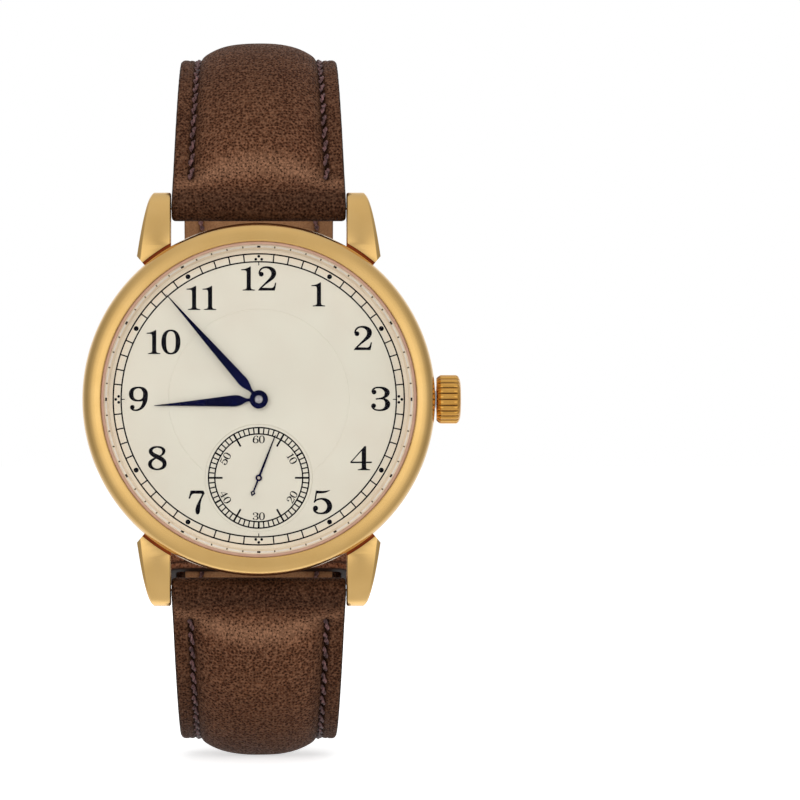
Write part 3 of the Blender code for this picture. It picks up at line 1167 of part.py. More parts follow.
def rise_at(distance, padded, thinned):
    """Height of the padding's middle along the strap."""
    start = smooth((distance - 2.6 * mm) / (3.0 * mm))
    thin = smooth((distance - padded) / (thinned - padded))
    return start * (PADDING_RISE + (TAIL_RISE - PADDING_RISE) * thin)


def spread_at(distance, bar_r):
    """Half the gap between the plies where they part to go round a bar."""
    radius = bar_r + WRAP_GAP
    slope = math.asin(radius / PINCH_LENGTH)
    if distance < radius * math.sin(slope):
        return math.sqrt(radius ** 2 - max(distance, 0.0) ** 2)
    return max((PINCH_LENGTH - distance) * math.tan(slope), 0.0)


def width_at(distance):
    share = min(distance / STRAP_TAPER_LENGTH, 1.0)
    return STRAP_LUG_WIDTH + (STRAP_BUCKLE_WIDTH - STRAP_LUG_WIDTH) * share


def tip_share(distance, length):
    """Width of the pointed end, as a share of the full width."""
    left = (length - distance) / TIP_LENGTH
    if left >= 1.0:
        return 1.0
    return max(0.06, max(1 - (1 - left) ** 2, 0.0) ** 0.9)


def section(point, normal, across, heights):
    """One ring of a strap layer: heights gives (low, high) above the path for each x."""
    top = [(x, point.x + normal.x * high, point.y + normal.y * high) for x, (low, high) in zip(across, heights)]
    under = [(x, point.x + normal.x * low, point.y + normal.y * low) for x, (low, high) in zip(across, heights)]
    return top + under[::-1]


def stations(first, last, extra=()):
    count = max(1, round((last - first) / STATION))
    even = [first + (last - first) * i / count for i in range(count + 1)]
    near = [d for d in extra if first + 0.2 * mm < d < last - 0.2 * mm]
    even = [d for d in even if all(abs(d - e) > 0.4 * mm for e in near)]
    return sorted(even + near)


ACROSS = (-1.0, -0.62, 0.0, 0.62, 1.0)


def strap_layers(label, path, padded, thinned, end_bar, tip):
    """Outer leather, padding and lining of one strap piece.

    The outer leather goes round the spring bar at the path's start, and round the buckle bar at its
    end if the piece has one. The padding lies between the plies, and the lining under them.
    """
    length = path.length
    near_bar = [0.26 * mm, 1.0 * mm, 2.6 * mm, PINCH_LENGTH, 4.9 * mm, 6.2 * mm]
    far_bar = [length - d for d in near_bar[:4]] if end_bar else []
    near_tip = [length - TIP_LENGTH * s for s in (0.8, 0.6, 0.42, 0.28, 0.16, 0.08, 0.03)] if tip else []
    marks = near_bar + far_bar + near_tip

    def half_width(distance):
        share = tip_share(distance, length) if tip else 1.0
        return width_at(distance) / 2 * share

    def spread(distance):
        gap = spread_at(distance, BAR_TUBE_R)
        if end_bar:
            gap = max(gap, spread_at(length - distance, BUCKLE_BAR_R))
        return gap

    def rise(distance, share):
        height = rise_at(distance, padded, thinned)
        if end_bar:
            height *= smooth((length - distance - 2.6 * mm) / (3.0 * mm))
        if tip:
            height *= smooth((length - distance - 0.2 * TIP_LENGTH) / (0.5 * TIP_LENGTH))
        return height * dome(share)

    def across_at(distance):
        half = half_width(distance)
        inner = max(half - STITCH_MARGIN, 0.55 * half)
        return [-half] + [inner * share for share in ACROSS] + [half]

    def wrap(centre, along, normal, bar_r, width, angles):
        rings = []
        for degrees in angles:
            angle = math.radians(degrees)
            out = normal * math.cos(angle) - along * math.sin(angle)
            inner = max(width / 2 - STITCH_MARGIN, 0)
            across = [-width / 2] + [inner * share for share in ACROSS] + [width / 2]
            low = bar_r + WRAP_GAP
            rings.append(section(centre, out, across, [(low, low + SKIN)] * len(across)))
        return rings

    shares = (1.0,) + ACROSS + (1.0,)
    point, along, normal = path.at(0.0)
    rings = wrap(point, along, normal, BAR_TUBE_R, width_at(0.0), (180, 135, 90, 45, 0))
    places = stations(0.26 * mm, length - (0.26 * mm if end_bar else 0.0), marks)
    for distance in places:
        point, along, normal = path.at(distance)
        heights = []
        for share in shares:
            low = spread(distance) + rise(distance, share) + PLY_GAP / 2
            heights.append((low, low + SKIN))
        rings.append(section(point, normal, across_at(distance), heights))
    if end_bar:
        point, along, normal = path.at(length)
        rings += wrap(point, -along, normal, BUCKLE_BAR_R, width_at(length), (0, 45, 90, 135, 180))
    outer = loft("strap_%s_outer" % label, rings)

    rings = []
    for distance in [0.12 * mm] + places + ([length - 0.12 * mm] if end_bar else []):
        point, along, normal = path.at(distance)
        high = -spread(distance) - PLY_GAP / 2
        across = [-half_width(distance), 0.0, half_width(distance)]
        rings.append(section(point, normal, across, [(high - LINING, high)] * 3))
    lining = loft("strap_%s_lining" % label, rings)

    rings = []
    for distance in [d for d in places if 0.9 * mm < d < 0.5 * (padded + thinned)]:
        point, along, normal = path.at(distance)
        inner = half_width(distance) - STITCH_MARGIN
        shares = (-0.8, -0.5, 0.0, 0.5, 0.8)
        heights = [(-spread(distance) + PLY_GAP / 2, spread(distance) + rise(distance, share) - PADDING_GAP)
                   for share in shares]
        rings.append(section(point, normal, [inner * share for share in shares], heights))
    padding = loft("strap_%s_padding" % label, rings)
    return outer, padding, lining


def path_matrix(path, distance):
    """Placed on the path: x across the strap, y along it, z outward."""
    point, along, normal = path.at(distance)
    rows = Matrix(((path.side, 0, 0, 0), (0, along.x, normal.x, point.x), (0, along.y, normal.y, point.y), (0, 0, 0, 1)))
    return rows


def make_strap():
    long_path = StrapPath(1, TIP_Z)
    short_path = StrapPath(-1, BUCKLE_BAR_Z)
    long_parts = strap_layers("long", long_path, LONG_PADDED, LONG_THINNED, end_bar=False, tip=True)
    short_parts = strap_layers("short", short_path, SHORT_PADDED, SHORT_THINNED, end_bar=True, tip=False)
    for outer, padding, lining in (long_parts, short_parts):
        place(outer, "leather", None)
        place(padding, "foam", None)
        place(lining, "lining", None)

    in_use = long_path.distance_at(BUCKLE_BAR_Z + 6.1 * mm)
    holes = []
    for i in range(-HOLES_TO_LUG, 2):
        if i != 0:
            holes.append((HOLE_R, 8 * mm, path_matrix(long_path, in_use + i * HOLE_PITCH)))
    tool = cutter(cylinders("strap_holes", holes, 12), None)
    width, length = TONGUE_HOLE
    oval = strip_outline((0, -(length - width) / 2), (0, (length - width) / 2), width / 2)
    tongue_hole = plate("tongue_hole", [oval], -4 * mm, 8 * mm)
    tongue_hole.data.transform(path_matrix(long_path, in_use))
    cutter(tongue_hole, None)
    outer, padding, lining = long_parts
    for piece in (outer, lining):
        boolean(piece, tool)
        boolean(piece, tongue_hole)

    point, along, normal = short_path.at(short_path.length)
    slot = box("tongue_slot", (-TONGUE_SLOT_WIDTH / 2, -TONGUE_SLOT_LENGTH, -4 * mm),
               (TONGUE_SLOT_WIDTH / 2, 4 * mm, 4 * mm))
    slot.data.transform(path_matrix(short_path, short_path.length))
    cutter(slot, None)
    outer, padding, lining = short_parts
    for piece in (outer, lining):
        boolean(piece, slot)
    return long_path, short_path


# ---- keepers ----

def make_keeper(name, shape, short_path, z):
    """A leather band round both strap pieces, square to the short piece."""
    distance = short_path.distance_at(z)
    point, along, normal = short_path.at(distance)
    low = -LINING - KEEPER_CLEARANCE
    high = LONG_OVER_SHORT + SKIN + TAIL_RISE + KEEPER_CLEARANCE
    half = shape["inside"] / 2
    wall = shape["wall"]

    def rounded(x, bottom, top, radius):
        return (arc(radius, 0, 90, 5, (x - radius, top - radius)) + arc(radius, 90, 180, 5, (radius - x, top - radius))
                + arc(radius, 180, 270, 5, (radius - x, bottom + radius))
                + arc(radius, 270, 360, 5, (x - radius, bottom + radius)))

    outlines = [rounded(half + wall, low - wall, high + wall, 1.7 * mm), rounded(half, low, high, 0.7 * mm)]
    band = plate(name, outlines, -shape["width"] / 2, shape["width"])
    tilt = math.atan2(-along.x, along.y)
    place(band, "leather", None, (0, point.x, point.y), (tilt, 0, 0))
    return band


# ---- buckle ----

def make_buckle():
    buckle = empty("buckle", (0, BUCKLE_BAR_Y, BUCKLE_BAR_Z), (math.radians(90 + BUCKLE_TILT), 0, math.radians(180)))
    half = BUCKLE_WIDTH / 2
    inside = half - BUCKLE_SIDE
    end = -0.75 * mm
    corner = 1.3 * mm
    top = [(half, BUCKLE_CORNER_Y - 2.0 * mm), (half - 0.20 * mm, BUCKLE_CORNER_Y - 0.9 * mm),
           (half - 0.95 * mm, BUCKLE_CORNER_Y)]
    rise = BUCKLE_APEX_Y - BUCKLE_CORNER_Y
    reach = half - 0.95 * mm
    crown_r = (reach ** 2 + rise ** 2) / (2 * rise)
    spread = math.degrees(math.asin(reach / crown_r))
    arch = arc(crown_r, 90 - spread, 90 + spread, 13, (0, BUCKLE_APEX_Y - crown_r))[1:-1]
    outline = ([(inside + 0.35 * mm, end), (half - 0.30 * mm, end), (half - 0.12 * mm, 0.6 * mm)] + top + arch
               + [(-x, y) for x, y in reversed(top)]
               + [(-half + 0.12 * mm, 0.6 * mm), (-half + 0.30 * mm, end), (-inside - 0.35 * mm, end),
                  (-inside, end + 0.4 * mm)]
               + arc(corner, 180, 90, 5, (corner - inside, BUCKLE_OPENING - corner))
               + arc(corner, 90, 0, 5, (inside - corner, BUCKLE_OPENING - corner))
               + [(inside, end + 0.4 * mm)])
    frame = plate("buckle_frame", [outline], -BUCKLE_THICKNESS / 2, BUCKLE_THICKNESS)
    place(frame, "buckle_gold", buckle)
    bar_holes = cylinders("bar_holes", [(BUCKLE_PIN_R, BUCKLE_WIDTH + 2 * mm, along_x(0, 0, 0))], 16)
    boolean(frame, cutter(bar_holes, frame))
    notch = round_bar("notch", NOTCH_R, NOTCH_FLOOR, 3 * mm, 20)
    boolean(frame, cutter(notch, frame, (0, NOTCH_TOP - NOTCH_R, 0)))
    mouth = box("notch_mouth", (-NOTCH_R, 8 * mm, NOTCH_FLOOR), (NOTCH_R, NOTCH_TOP - NOTCH_R, 3 * mm))
    boolean(frame, cutter(mouth, frame))

    pin_r = BUCKLE_PIN_R - 0.03 * mm
    shoulder = inside - 0.12 * mm
    bar_end = half - 0.55 * mm
    bar = turned("buckle_bar", [
        (0, bar_end), (pin_r, bar_end), (pin_r, shoulder), (BUCKLE_BAR_R, shoulder),
        (BUCKLE_BAR_R, -shoulder), (pin_r, -shoulder), (pin_r, -bar_end), (0, -bar_end)], 16)
    place(bar, "steel", buckle, rotation=(0, math.radians(90), 0))
    make_tongue(buckle)


def make_tongue(buckle):
    """A round wire along a bent line in the (y, z) plane, flattened to its width, with an eye at its root."""
    route = [(1.05, -0.35), (2.2, -0.78), (3.5, -1.02), (4.6, -0.96), (5.4, -0.55), (6.1, 0.02), (6.9, 0.52),
             (7.8, 0.74), (8.8, 0.75), (10.0, 0.66), (11.1, 0.56)]
    curve = bpy.data.curves.new("tongue_wire", "CURVE")
    curve.dimensions = "3D"
    curve.bevel_depth = TONGUE_R * FILL_SCALE
    curve.bevel_resolution = 2
    curve.use_fill_caps = True
    spline = curve.splines.new("POLY")
    spline.points.add(len(route) - 1)
    for p, (y, z) in zip(spline.points, route):
        p.co = (0, y, z, 1)
    wire = mesh_object("tongue_wire", curve)
    mesh = bpy.data.meshes.new_from_object(wire.evaluated_get(bpy.context.evaluated_depsgraph_get()))
    bpy.data.objects.remove(wire, do_unlink=True)
    widen = TONGUE_WIDTH / 2 / TONGUE_R
    mesh.transform(Matrix.Diagonal((widen / FILL_SCALE, 1 / FILL_SCALE, 1 / FILL_SCALE, 1.0)))
    tidy_mesh(mesh)
    mesh.name = "buckle_tongue"
    tongue = mesh_object("buckle_tongue", mesh)
    eye = cylinders("tongue_eye", [(TONGUE_EYE_R, TONGUE_WIDTH, along_x(0, 0, 0))], 20)
    boolean(tongue, cutter(eye, tongue), "UNION")
    bore = cylinders("tongue_bore", [(BUCKLE_BAR_R + RUNNING, TONGUE_WIDTH + 2 * mm, along_x(0, 0, 0))], 16)
    boolean(tongue, cutter(bore, tongue))
    place(tongue, "buckle_gold", buckle)


# ---- the whole watch ----

def make_watch():
    head = empty("watch_head", (0, 0, 0), (math.radians(90), 0, 0))
    make_case(head)
    make_case_back(head)
    make_crown(head)
    click_pivot = make_winding_wheels(head)
    make_plates(head, click_pivot)
    make_train(head)
    make_motion_works(head)
    make_dial(head)
    make_hands(head)
    make_spring_bars(head)
    long_path, short_path = make_strap()
    make_keeper("fixed_keeper", FIXED_KEEPER, short_path, FIXED_KEEPER_Z)
    make_keeper("free_keeper", FREE_KEEPER, short_path, FIXED_KEEPER_Z - KEEPER_PITCH)
    make_buckle()


clear_scene()
parts = new_collection("wristwatch")
cutters = new_collection("cutters")
make_watch()
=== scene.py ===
import json
import math
import bpy
import bmesh
from mathutils import Matrix, Vector, kdtree, noise
from mathutils.geometry import delaunay_2d_cdt


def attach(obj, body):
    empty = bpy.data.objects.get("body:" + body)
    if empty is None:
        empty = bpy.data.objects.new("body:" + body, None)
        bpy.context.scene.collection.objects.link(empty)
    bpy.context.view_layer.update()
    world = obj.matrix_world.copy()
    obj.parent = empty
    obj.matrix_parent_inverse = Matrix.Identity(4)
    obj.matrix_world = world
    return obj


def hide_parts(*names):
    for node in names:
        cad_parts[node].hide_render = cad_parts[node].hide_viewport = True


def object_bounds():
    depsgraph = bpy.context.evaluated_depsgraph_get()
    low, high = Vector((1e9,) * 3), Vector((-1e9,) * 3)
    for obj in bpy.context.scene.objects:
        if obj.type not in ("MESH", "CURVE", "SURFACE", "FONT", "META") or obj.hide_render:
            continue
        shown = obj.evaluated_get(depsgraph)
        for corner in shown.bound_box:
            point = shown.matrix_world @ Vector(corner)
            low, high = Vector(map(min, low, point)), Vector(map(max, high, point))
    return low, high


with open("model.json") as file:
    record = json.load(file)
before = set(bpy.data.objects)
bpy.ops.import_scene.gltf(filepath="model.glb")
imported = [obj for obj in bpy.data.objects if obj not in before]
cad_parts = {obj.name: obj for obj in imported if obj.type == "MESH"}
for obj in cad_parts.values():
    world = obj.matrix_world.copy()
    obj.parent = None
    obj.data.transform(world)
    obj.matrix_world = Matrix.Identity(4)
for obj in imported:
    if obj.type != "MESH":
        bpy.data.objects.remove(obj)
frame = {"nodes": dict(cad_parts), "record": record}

nodes = frame["nodes"]
scene = bpy.context.scene
mm = 0.001
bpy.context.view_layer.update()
print("frame loaded:", len(nodes), "nodes")


def srgb(red, green, blue):
    linear = []
    for value in (red, green, blue):
        value = value / 255
        linear.append(value / 12.92 if value <= 0.04045 else ((value + 0.055) / 1.055) ** 2.4)
    return (*linear, 1.0)


def headPoint(x, y, z):  # x to 3 o'clock, y to 12, z out of the dial, all in mm
    return Vector((x * mm, -z * mm, y * mm))


def shiftedPlace(centreY):  # a place round a centre above or below the dial's own
    return lambda x, y, z: headPoint(x, y + centreY, z)


def smoothStep(share):
    share = min(max(share, 0.0), 1.0)
    return share * share * (3 - 2 * share)


def hill(offset, width):  # 1 at no offset, falling softly to 0
    return math.exp(-(offset / width) ** 2)


def edgeDrop(gap, radius):  # how far a rounded edge lies below its face
    return radius - math.sqrt(max(radius ** 2 - (radius - gap) ** 2, 0.0)) if gap < radius else 0.0


def quarterRound(radius, steps):  # distance in from the side and from the face, over a rounded edge
    turns = [math.radians(90 * k / steps) for k in range(steps + 1)]
    return [(radius * (1 - math.cos(turn)), radius * (1 - math.sin(turn))) for turn in turns]


def circlePoints(radius, count, centre=(0, 0), start=0.0, turn=360.0):
    whole = turn == 360.0
    steps = count if whole else count - 1
    angles = [math.radians(start + turn * i / steps) for i in range(count)]
    return [(centre[0] + radius * math.cos(a), centre[1] + radius * math.sin(a)) for a in angles]


def softCorners(points, cut, steps):  # closed outline; cut is one length or one for each corner
    result = []
    for i, point in enumerate(points):
        here = Vector(point)
        length = cut[i] if isinstance(cut, (list, tuple)) else cut
        before = Vector(points[i - 1]) - here
        after = Vector(points[(i + 1) % len(points)]) - here
        length = min(length, before.length * 0.48, after.length * 0.48)
        if length < 1e-6:
            result.append(tuple(here))
            continue
        first = here + before.normalized() * length
        last = here + after.normalized() * length
        for k in range(steps + 1):
            t = k / steps
            result.append(tuple(first * (1 - t) ** 2 + here * (2 * t * (1 - t)) + last * t * t))
    return result


def throughPoints(points, per):  # a smooth line through the points, in this many steps for each span
    result = []
    for i in range(len(points) - 1):
        a, b = Vector(points[i]), Vector(points[i + 1])
        before = Vector(points[i - 1]) if i > 0 else a * 2 - b
        after = Vector(points[i + 2]) if i + 2 < len(points) else b * 2 - a
        for k in range(per):
            t = k / per
            result.append(tuple(0.5 * (2 * a + (b - before) * t + (2 * before - 5 * a + 4 * b - after) * t * t
                                       + (3 * a - before - 3 * b + after) * t ** 3)))
    return result + [tuple(points[-1])]


def insetLine(outline, amounts):  # outline drawn clockwise, each point moved inwards by its own amount
    result = []
    for i, ((x, y), amount) in enumerate(zip(outline, amounts)):
        before, after = outline[i - 1], outline[(i + 1) % len(outline)]
        first = Vector((y - before[1], before[0] - x)).normalized()
        second = Vector((after[1] - y, x - after[0])).normalized()
        inward = (first + second).normalized()
        result.append((x + inward.x * amount, y + inward.y * amount))
    return result


def rawPiece(name, verts, faces):
    mesh = bpy.data.meshes.new(name)
    mesh.from_pydata([tuple(v) for v in verts], [], faces)
    piece = bpy.data.objects.new(name, mesh)
    scene.collection.objects.link(piece)
    cleanMesh(mesh)
    return piece


def cleanMesh(mesh):
    work = bmesh.new()
    work.from_mesh(mesh)
    bmesh.ops.remove_doubles(work, verts=work.verts, dist=2e-7)
    bmesh.ops.dissolve_degenerate(work, edges=work.edges, dist=1e-8)
    bmesh.ops.recalc_face_normals(work, faces=work.faces)
    work.to_mesh(mesh)
    work.free()


def carve(piece, tool):  # cut the tool out of the piece, then drop the tool
    step = piece.modifiers.new("carve", "BOOLEAN")
    step.operation = "DIFFERENCE"
    step.solver = "EXACT"
    step.object = tool
    shaped = piece.evaluated_get(bpy.context.evaluated_depsgraph_get())
    mesh, old = bpy.data.meshes.new_from_object(shaped), piece.data
    piece.modifiers.clear()
    piece.data = mesh
    bpy.data.meshes.remove(old)
    bpy.data.objects.remove(tool, do_unlink=True)


def pointShares(piece, *names):  # numbers from 0 to 1 at each point, read by the finishes under these names
    layers = piece.data.attributes
    for name in names:
        if name not in layers:
            layers.new(name, "FLOAT", "POINT")
    return [layers[name].data for name in names]


def settle(piece, body, finishes, stands=(), sharp=32.0):  # finishes, body and the nodes it stands for
    mesh = piece.data
    mesh.name = piece.name
    cleanMesh(mesh)
    mesh.shade_smooth()
    mesh.set_sharp_from_angle(angle=math.radians(sharp))
    finishes = finishes if isinstance(finishes, list) else [finishes]
    kept = [p.material_index for p in mesh.polygons]
    mesh.materials.clear()
    for finish in finishes:
        mesh.materials.append(finish)
    for polygon, index in zip(mesh.polygons, kept):
        polygon.material_index = min(index, len(finishes) - 1)
    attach(piece, body)
    if stands:
        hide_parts(*stands)


def bridged(pairs):  # faces between pairs of rows of point numbers, each row closed round
    faces = []
    for low, high in pairs:
        for i in range(len(low)):
            j = (i + 1) % len(low)
            corners = list(dict.fromkeys((low[i], high[i], high[j], low[j])))
            if len(corners) > 2:
                faces.append(corners)
    return faces


def turned(profile, steps, place=headPoint, ring=True):  # profile of (radius, height), round one axis
    verts, rows = [], []
    for radius, height in profile:
        if radius < 1e-6:
            rows.append([len(verts)] * steps)
            verts.append(place(0, 0, height))
        else:
            rows.append([len(verts) + i for i in range(steps)])
            verts += [place(x, y, height) for x, y in circlePoints(radius, steps)]
    return verts, bridged(list(zip(rows, rows[1:])) + ([(rows[-1], rows[0])] if ring else []))


def drill(piece, radius, low, high, steps, place):  # a plain round hole
    profile = [(0, low), (radius, low), (radius, high), (0, high)]
    carve(piece, rawPiece("drill", *turned(profile, steps, place, ring=False)))


def lofted(rings, loop=False):  # rings of equally many points, closed round each ring
    count = len(rings[0])
    verts = [point for ring in rings for point in ring]
    faces = []
    last = len(rings) if loop else len(rings) - 1
    for r in range(last):
        a, b = r * count, ((r + 1) % len(rings)) * count
        faces += [(a + i, a + (i + 1) % count, b + (i + 1) % count, b + i) for i in range(count)]
    if not loop:
        faces += [tuple(range(count))[::-1], tuple(range((len(rings) - 1) * count, len(rings) * count))]
    return verts, faces


def punch(piece, outline, levels, place):  # a straight cut of this outline between two levels
    carve(piece, rawPiece("punch", *lofted([[place(a, b, level) for a, b in outline] for level in levels])))


def joined(*shapes):
    verts, faces = [], []
    for moreVerts, moreFaces in shapes:
        base = len(verts)
        verts += list(moreVerts)
        faces += [tuple(i + base for i in face) for face in moreFaces]
    return verts, faces


def newGroup(name, inputs, outputs):
    tree = bpy.data.node_groups.new(name, "ShaderNodeTree")
    for label, value in inputs.items():
        kind = "NodeSocketColor" if isinstance(value, tuple) else "NodeSocketFloat"
        socket = tree.interface.new_socket(label, in_out="INPUT", socket_type=kind)
        socket.default_value = value
    for label in outputs:
        kind = "NodeSocketColor" if label == "Color" else "NodeSocketFloat"
        tree.interface.new_socket(label, in_out="OUTPUT", socket_type=kind)
    return tree, tree.nodes.new("NodeGroupInput"), tree.nodes.new("NodeGroupOutput")


def fill(tree, node, values):  # a number, a colour or another node's output for each input
    for key, value in values.items():
        if isinstance(value, bpy.types.NodeSocket):
            tree.links.new(value, node.inputs[key])
        else:
            node.inputs[key].default_value = value


def addNode(tree, kind, values=None, **settings):
    node = tree.nodes.new(kind)
    for key, value in settings.items():
        setattr(node, key, value)
    fill(tree, node, values or {})
    return node


def addMath(tree, operation, *values):
    return addNode(tree, "ShaderNodeMath", dict(enumerate(values)), operation=operation).outputs[0]


def addVector(tree, operation, *values):
    return addNode(tree, "ShaderNodeVectorMath", dict(enumerate(values)), operation=operation).outputs[0]


def addMix(tree, share, first, second):
    return addNode(tree, "ShaderNodeMix", {0: share, 6: first, 7: second}, data_type="RGBA").outputs[2]


def addShader(tree, share, first, second):
    return addNode(tree, "ShaderNodeMixShader", {0: share, 1: first, 2: second}).outputs[0]


def addMap(tree, value, low, high, start=0.0, end=1.0, kind="LINEAR"):
    values = {"Value": value, "From Min": low, "From Max": high, "To Min": start, "To Max": end}
    return addNode(tree, "ShaderNodeMapRange", values, interpolation_type=kind).outputs[0]


def addSmoothMap(tree, value, low, high, start=0.0, end=1.0):
    return addMap(tree, value, low, high, start, end, "SMOOTHSTEP")


def addNoise(tree, place, scale, detail, rough=0.5):
    values = {"Vector": place, "Scale": scale, "Detail": detail, "Roughness": rough}
    return addNode(tree, "ShaderNodeTexNoise", values)


def clearTree(owner, kind):  # an empty node tree and its surface socket
    owner.use_nodes = True
    owner.node_tree.nodes.clear()
    return owner.node_tree, owner.node_tree.nodes.new("ShaderNodeOutput" + kind).inputs["Surface"]


def attributeShare(tree, name):
    return addNode(tree, "ShaderNodeAttribute", attribute_name=name).outputs["Fac"]


def objectPlace(tree):
    return addNode(tree, "ShaderNodeTexCoord").outputs["Object"]


def addGlow(tree, kind, colour, strength=None):  # a background, an emission or a matt surface
    values = {"Color": colour} if strength is None else {"Color": colour, "Strength": strength}
    return addNode(tree, "ShaderNode" + kind, values).outputs[0]


def seenRays(tree):  # the kinds of ray that a shader is seen by
    path = addNode(tree, "ShaderNodeLightPath").outputs
    return addMath(tree, "MAXIMUM", path["Is Camera Ray"], path["Is Transmission Ray"]), path["Is Glossy Ray"]


def makeColourDrift():  # slow change between two colours, with a finer speckle
    inputs = dict(First=(0.5, 0.5, 0.5, 1), Second=(0.6, 0.6, 0.6, 1), Size=3.0, Speckle=0.2)
    tree, given, result = newGroup("colourDrift", inputs, ("Color", "Mask"))
    scale = addMath(tree, "DIVIDE", 1000.0, given.outputs["Size"])
    place = objectPlace(tree)
    broad = addNoise(tree, place, scale, 3.0)
    speck = addNoise(tree, place, addMath(tree, "MULTIPLY", scale, 9.0), 2.0, 0.6)
    spread = addMath(tree, "MULTIPLY_ADD", broad.outputs["Fac"], 2.6, -0.8)
    speckle = addMath(tree, "MULTIPLY", addMath(tree, "SUBTRACT", speck.outputs["Fac"], 0.5),
                      given.outputs["Speckle"])
    mask = addMath(tree, "ADD", spread, addMath(tree, "MULTIPLY", speckle, 4.0))
    mask = addNode(tree, "ShaderNodeClamp", {"Value": mask}).outputs[0]
    colour = addMix(tree, mask, given.outputs["First"], given.outputs["Second"])
    fill(tree, result, {"Color": colour, "Mask": mask})
    return tree


def makeLeatherGrain():  # small pebbles, with short broken creases between them
    inputs = dict(Pebble=0.34, Crease=1.0, Folds=0.3)
    tree, given, result = newGroup("leatherGrain", inputs, ("Height", "Crease", "Tone", "Top"))
    place = objectPlace(tree)
    scale = addMath(tree, "DIVIDE", 1000.0, given.outputs["Pebble"])
    bend = addNoise(tree, place, addMath(tree, "MULTIPLY", scale, 0.6), 2.0)
    centred = addVector(tree, "SUBTRACT", bend.outputs["Color"], (0.5, 0.5, 0.5))
    shift = addNode(tree, "ShaderNodeVectorMath", {0: centred, "Scale": 0.00022},
                    operation="SCALE").outputs[0]
    moved = addVector(tree, "ADD", place, shift)
    cells = addNode(tree, "ShaderNodeTexVoronoi", {"Vector": moved, "Scale": scale},
                    feature="DISTANCE_TO_EDGE")
    pebble = addSmoothMap(tree, cells.outputs["Distance"], 0.02, 0.26)
    broken = addNoise(tree, place, addMath(tree, "MULTIPLY", scale, 1.3), 1.0)
    broken = addSmoothMap(tree, broken.outputs["Fac"], 0.34, 0.52)
    crease = addMath(tree, "MULTIPLY", addMath(tree, "SUBTRACT", 1.0, pebble), broken)
    closer = addMath(tree, "MULTIPLY", scale, 1.12)
    dots = addNode(tree, "ShaderNodeTexVoronoi", {"Vector": moved, "Scale": closer, "Randomness": 0.8})
    pores = addSmoothMap(tree, dots.outputs["Distance"], 0.16, 0.42, 1.0, 0.0)
    crease = addMath(tree, "MAXIMUM", addMath(tree, "MULTIPLY", crease, 0.5), pores)
    crease = addMath(tree, "MULTIPLY", crease, given.outputs["Crease"])
    folds = addNoise(tree, place, addMath(tree, "MULTIPLY", scale, 0.3), 5.0, 0.6)
    height = addMath(tree, "MULTIPLY", folds.outputs["Fac"], given.outputs["Folds"])
    height = addMath(tree, "SUBTRACT", addMath(tree, "MULTIPLY_ADD", pebble, 0.25, height), crease)
    # Top: the middle of each pebble, where the leather finish paints a glint
    top = addSmoothMap(tree, dots.outputs["Distance"], 0.40, 0.70)
    fill(tree, result, {"Height": height, "Crease": crease, "Tone": folds.outputs["Fac"], "Top": top})
    return tree


def makeMetalSkin():  # hairlines and handling marks of a worked metal surface
    inputs = dict(Hairline=0.06, Dull=0.25, Bright=0.12)
    tree, given, result = newGroup("metalSkin", inputs, ("Roughness", "Height"))
    place = objectPlace(tree)
    scale = addMath(tree, "DIVIDE", 1000.0, given.outputs["Hairline"])
    lines = addNoise(tree, addVector(tree, "MULTIPLY", place, (1.0, 8.0, 1.0)), scale, 2.0)
    smudge = addNoise(tree, place, 420.0, 4.0)
    rough = addMap(tree, smudge.outputs["Fac"], 0.3, 0.7, given.outputs["Bright"], given.outputs["Dull"])
    fill(tree, result, {"Roughness": rough, "Height": lines.outputs["Fac"]})
    return tree


colourDrift, leatherGrain, metalSkin = makeColourDrift(), makeLeatherGrain(), makeMetalSkin()


def newFinish(name):
    finish = bpy.data.materials.new(name)
    finish.use_nodes = True
    tree = finish.node_tree
    return finish, tree, tree.nodes["Principled BSDF"]


def placeGroup(tree, group, **values):
    return addNode(tree, "ShaderNodeGroup", values, node_tree=group)


def bumpFrom(tree, height, distance, strength=1.0):
    values = {"Height": height, "Distance": distance * mm, "Strength": strength}
    return addNode(tree, "ShaderNodeBump", values).outputs["Normal"]


def metalFinish(name, first, second, dull, bright, hairline=0.06, depth=0.002, hollowShade=None):
    finish, tree, shader = newFinish(name)
    drift = placeGroup(tree, colourDrift, First=srgb(*first), Second=srgb(*second), Size=4.0, Speckle=0.1)
    skin = placeGroup(tree, metalSkin, Hairline=hairline, Dull=dull, Bright=bright)
    colour = drift.outputs["Color"]
    # painted shade: a dark colour laid in the hollows a piece marks
    if hollowShade:
        colour = addMix(tree, attributeShare(tree, "hollowShade"), colour, srgb(*hollowShade))
    fill(tree, shader, {"Metallic": 1.0, "Base Color": colour, "Roughness": skin.outputs["Roughness"],
                        "Normal": bumpFrom(tree, skin.outputs["Height"], depth)})
    return finish


def softFinish(name, first, second, rough, size, depth, speckle=0.3, shine=0.3):
    finish, tree, shader = newFinish(name)
    drift = placeGroup(tree, colourDrift, First=srgb(*first), Second=srgb(*second), Size=size,
                       Speckle=speckle)
    fill(tree, shader, {"Base Color": drift.outputs["Color"], "Roughness": rough, "Specular IOR Level": shine,
                        "Normal": bumpFrom(tree, drift.outputs["Mask"], depth)})
    return finish


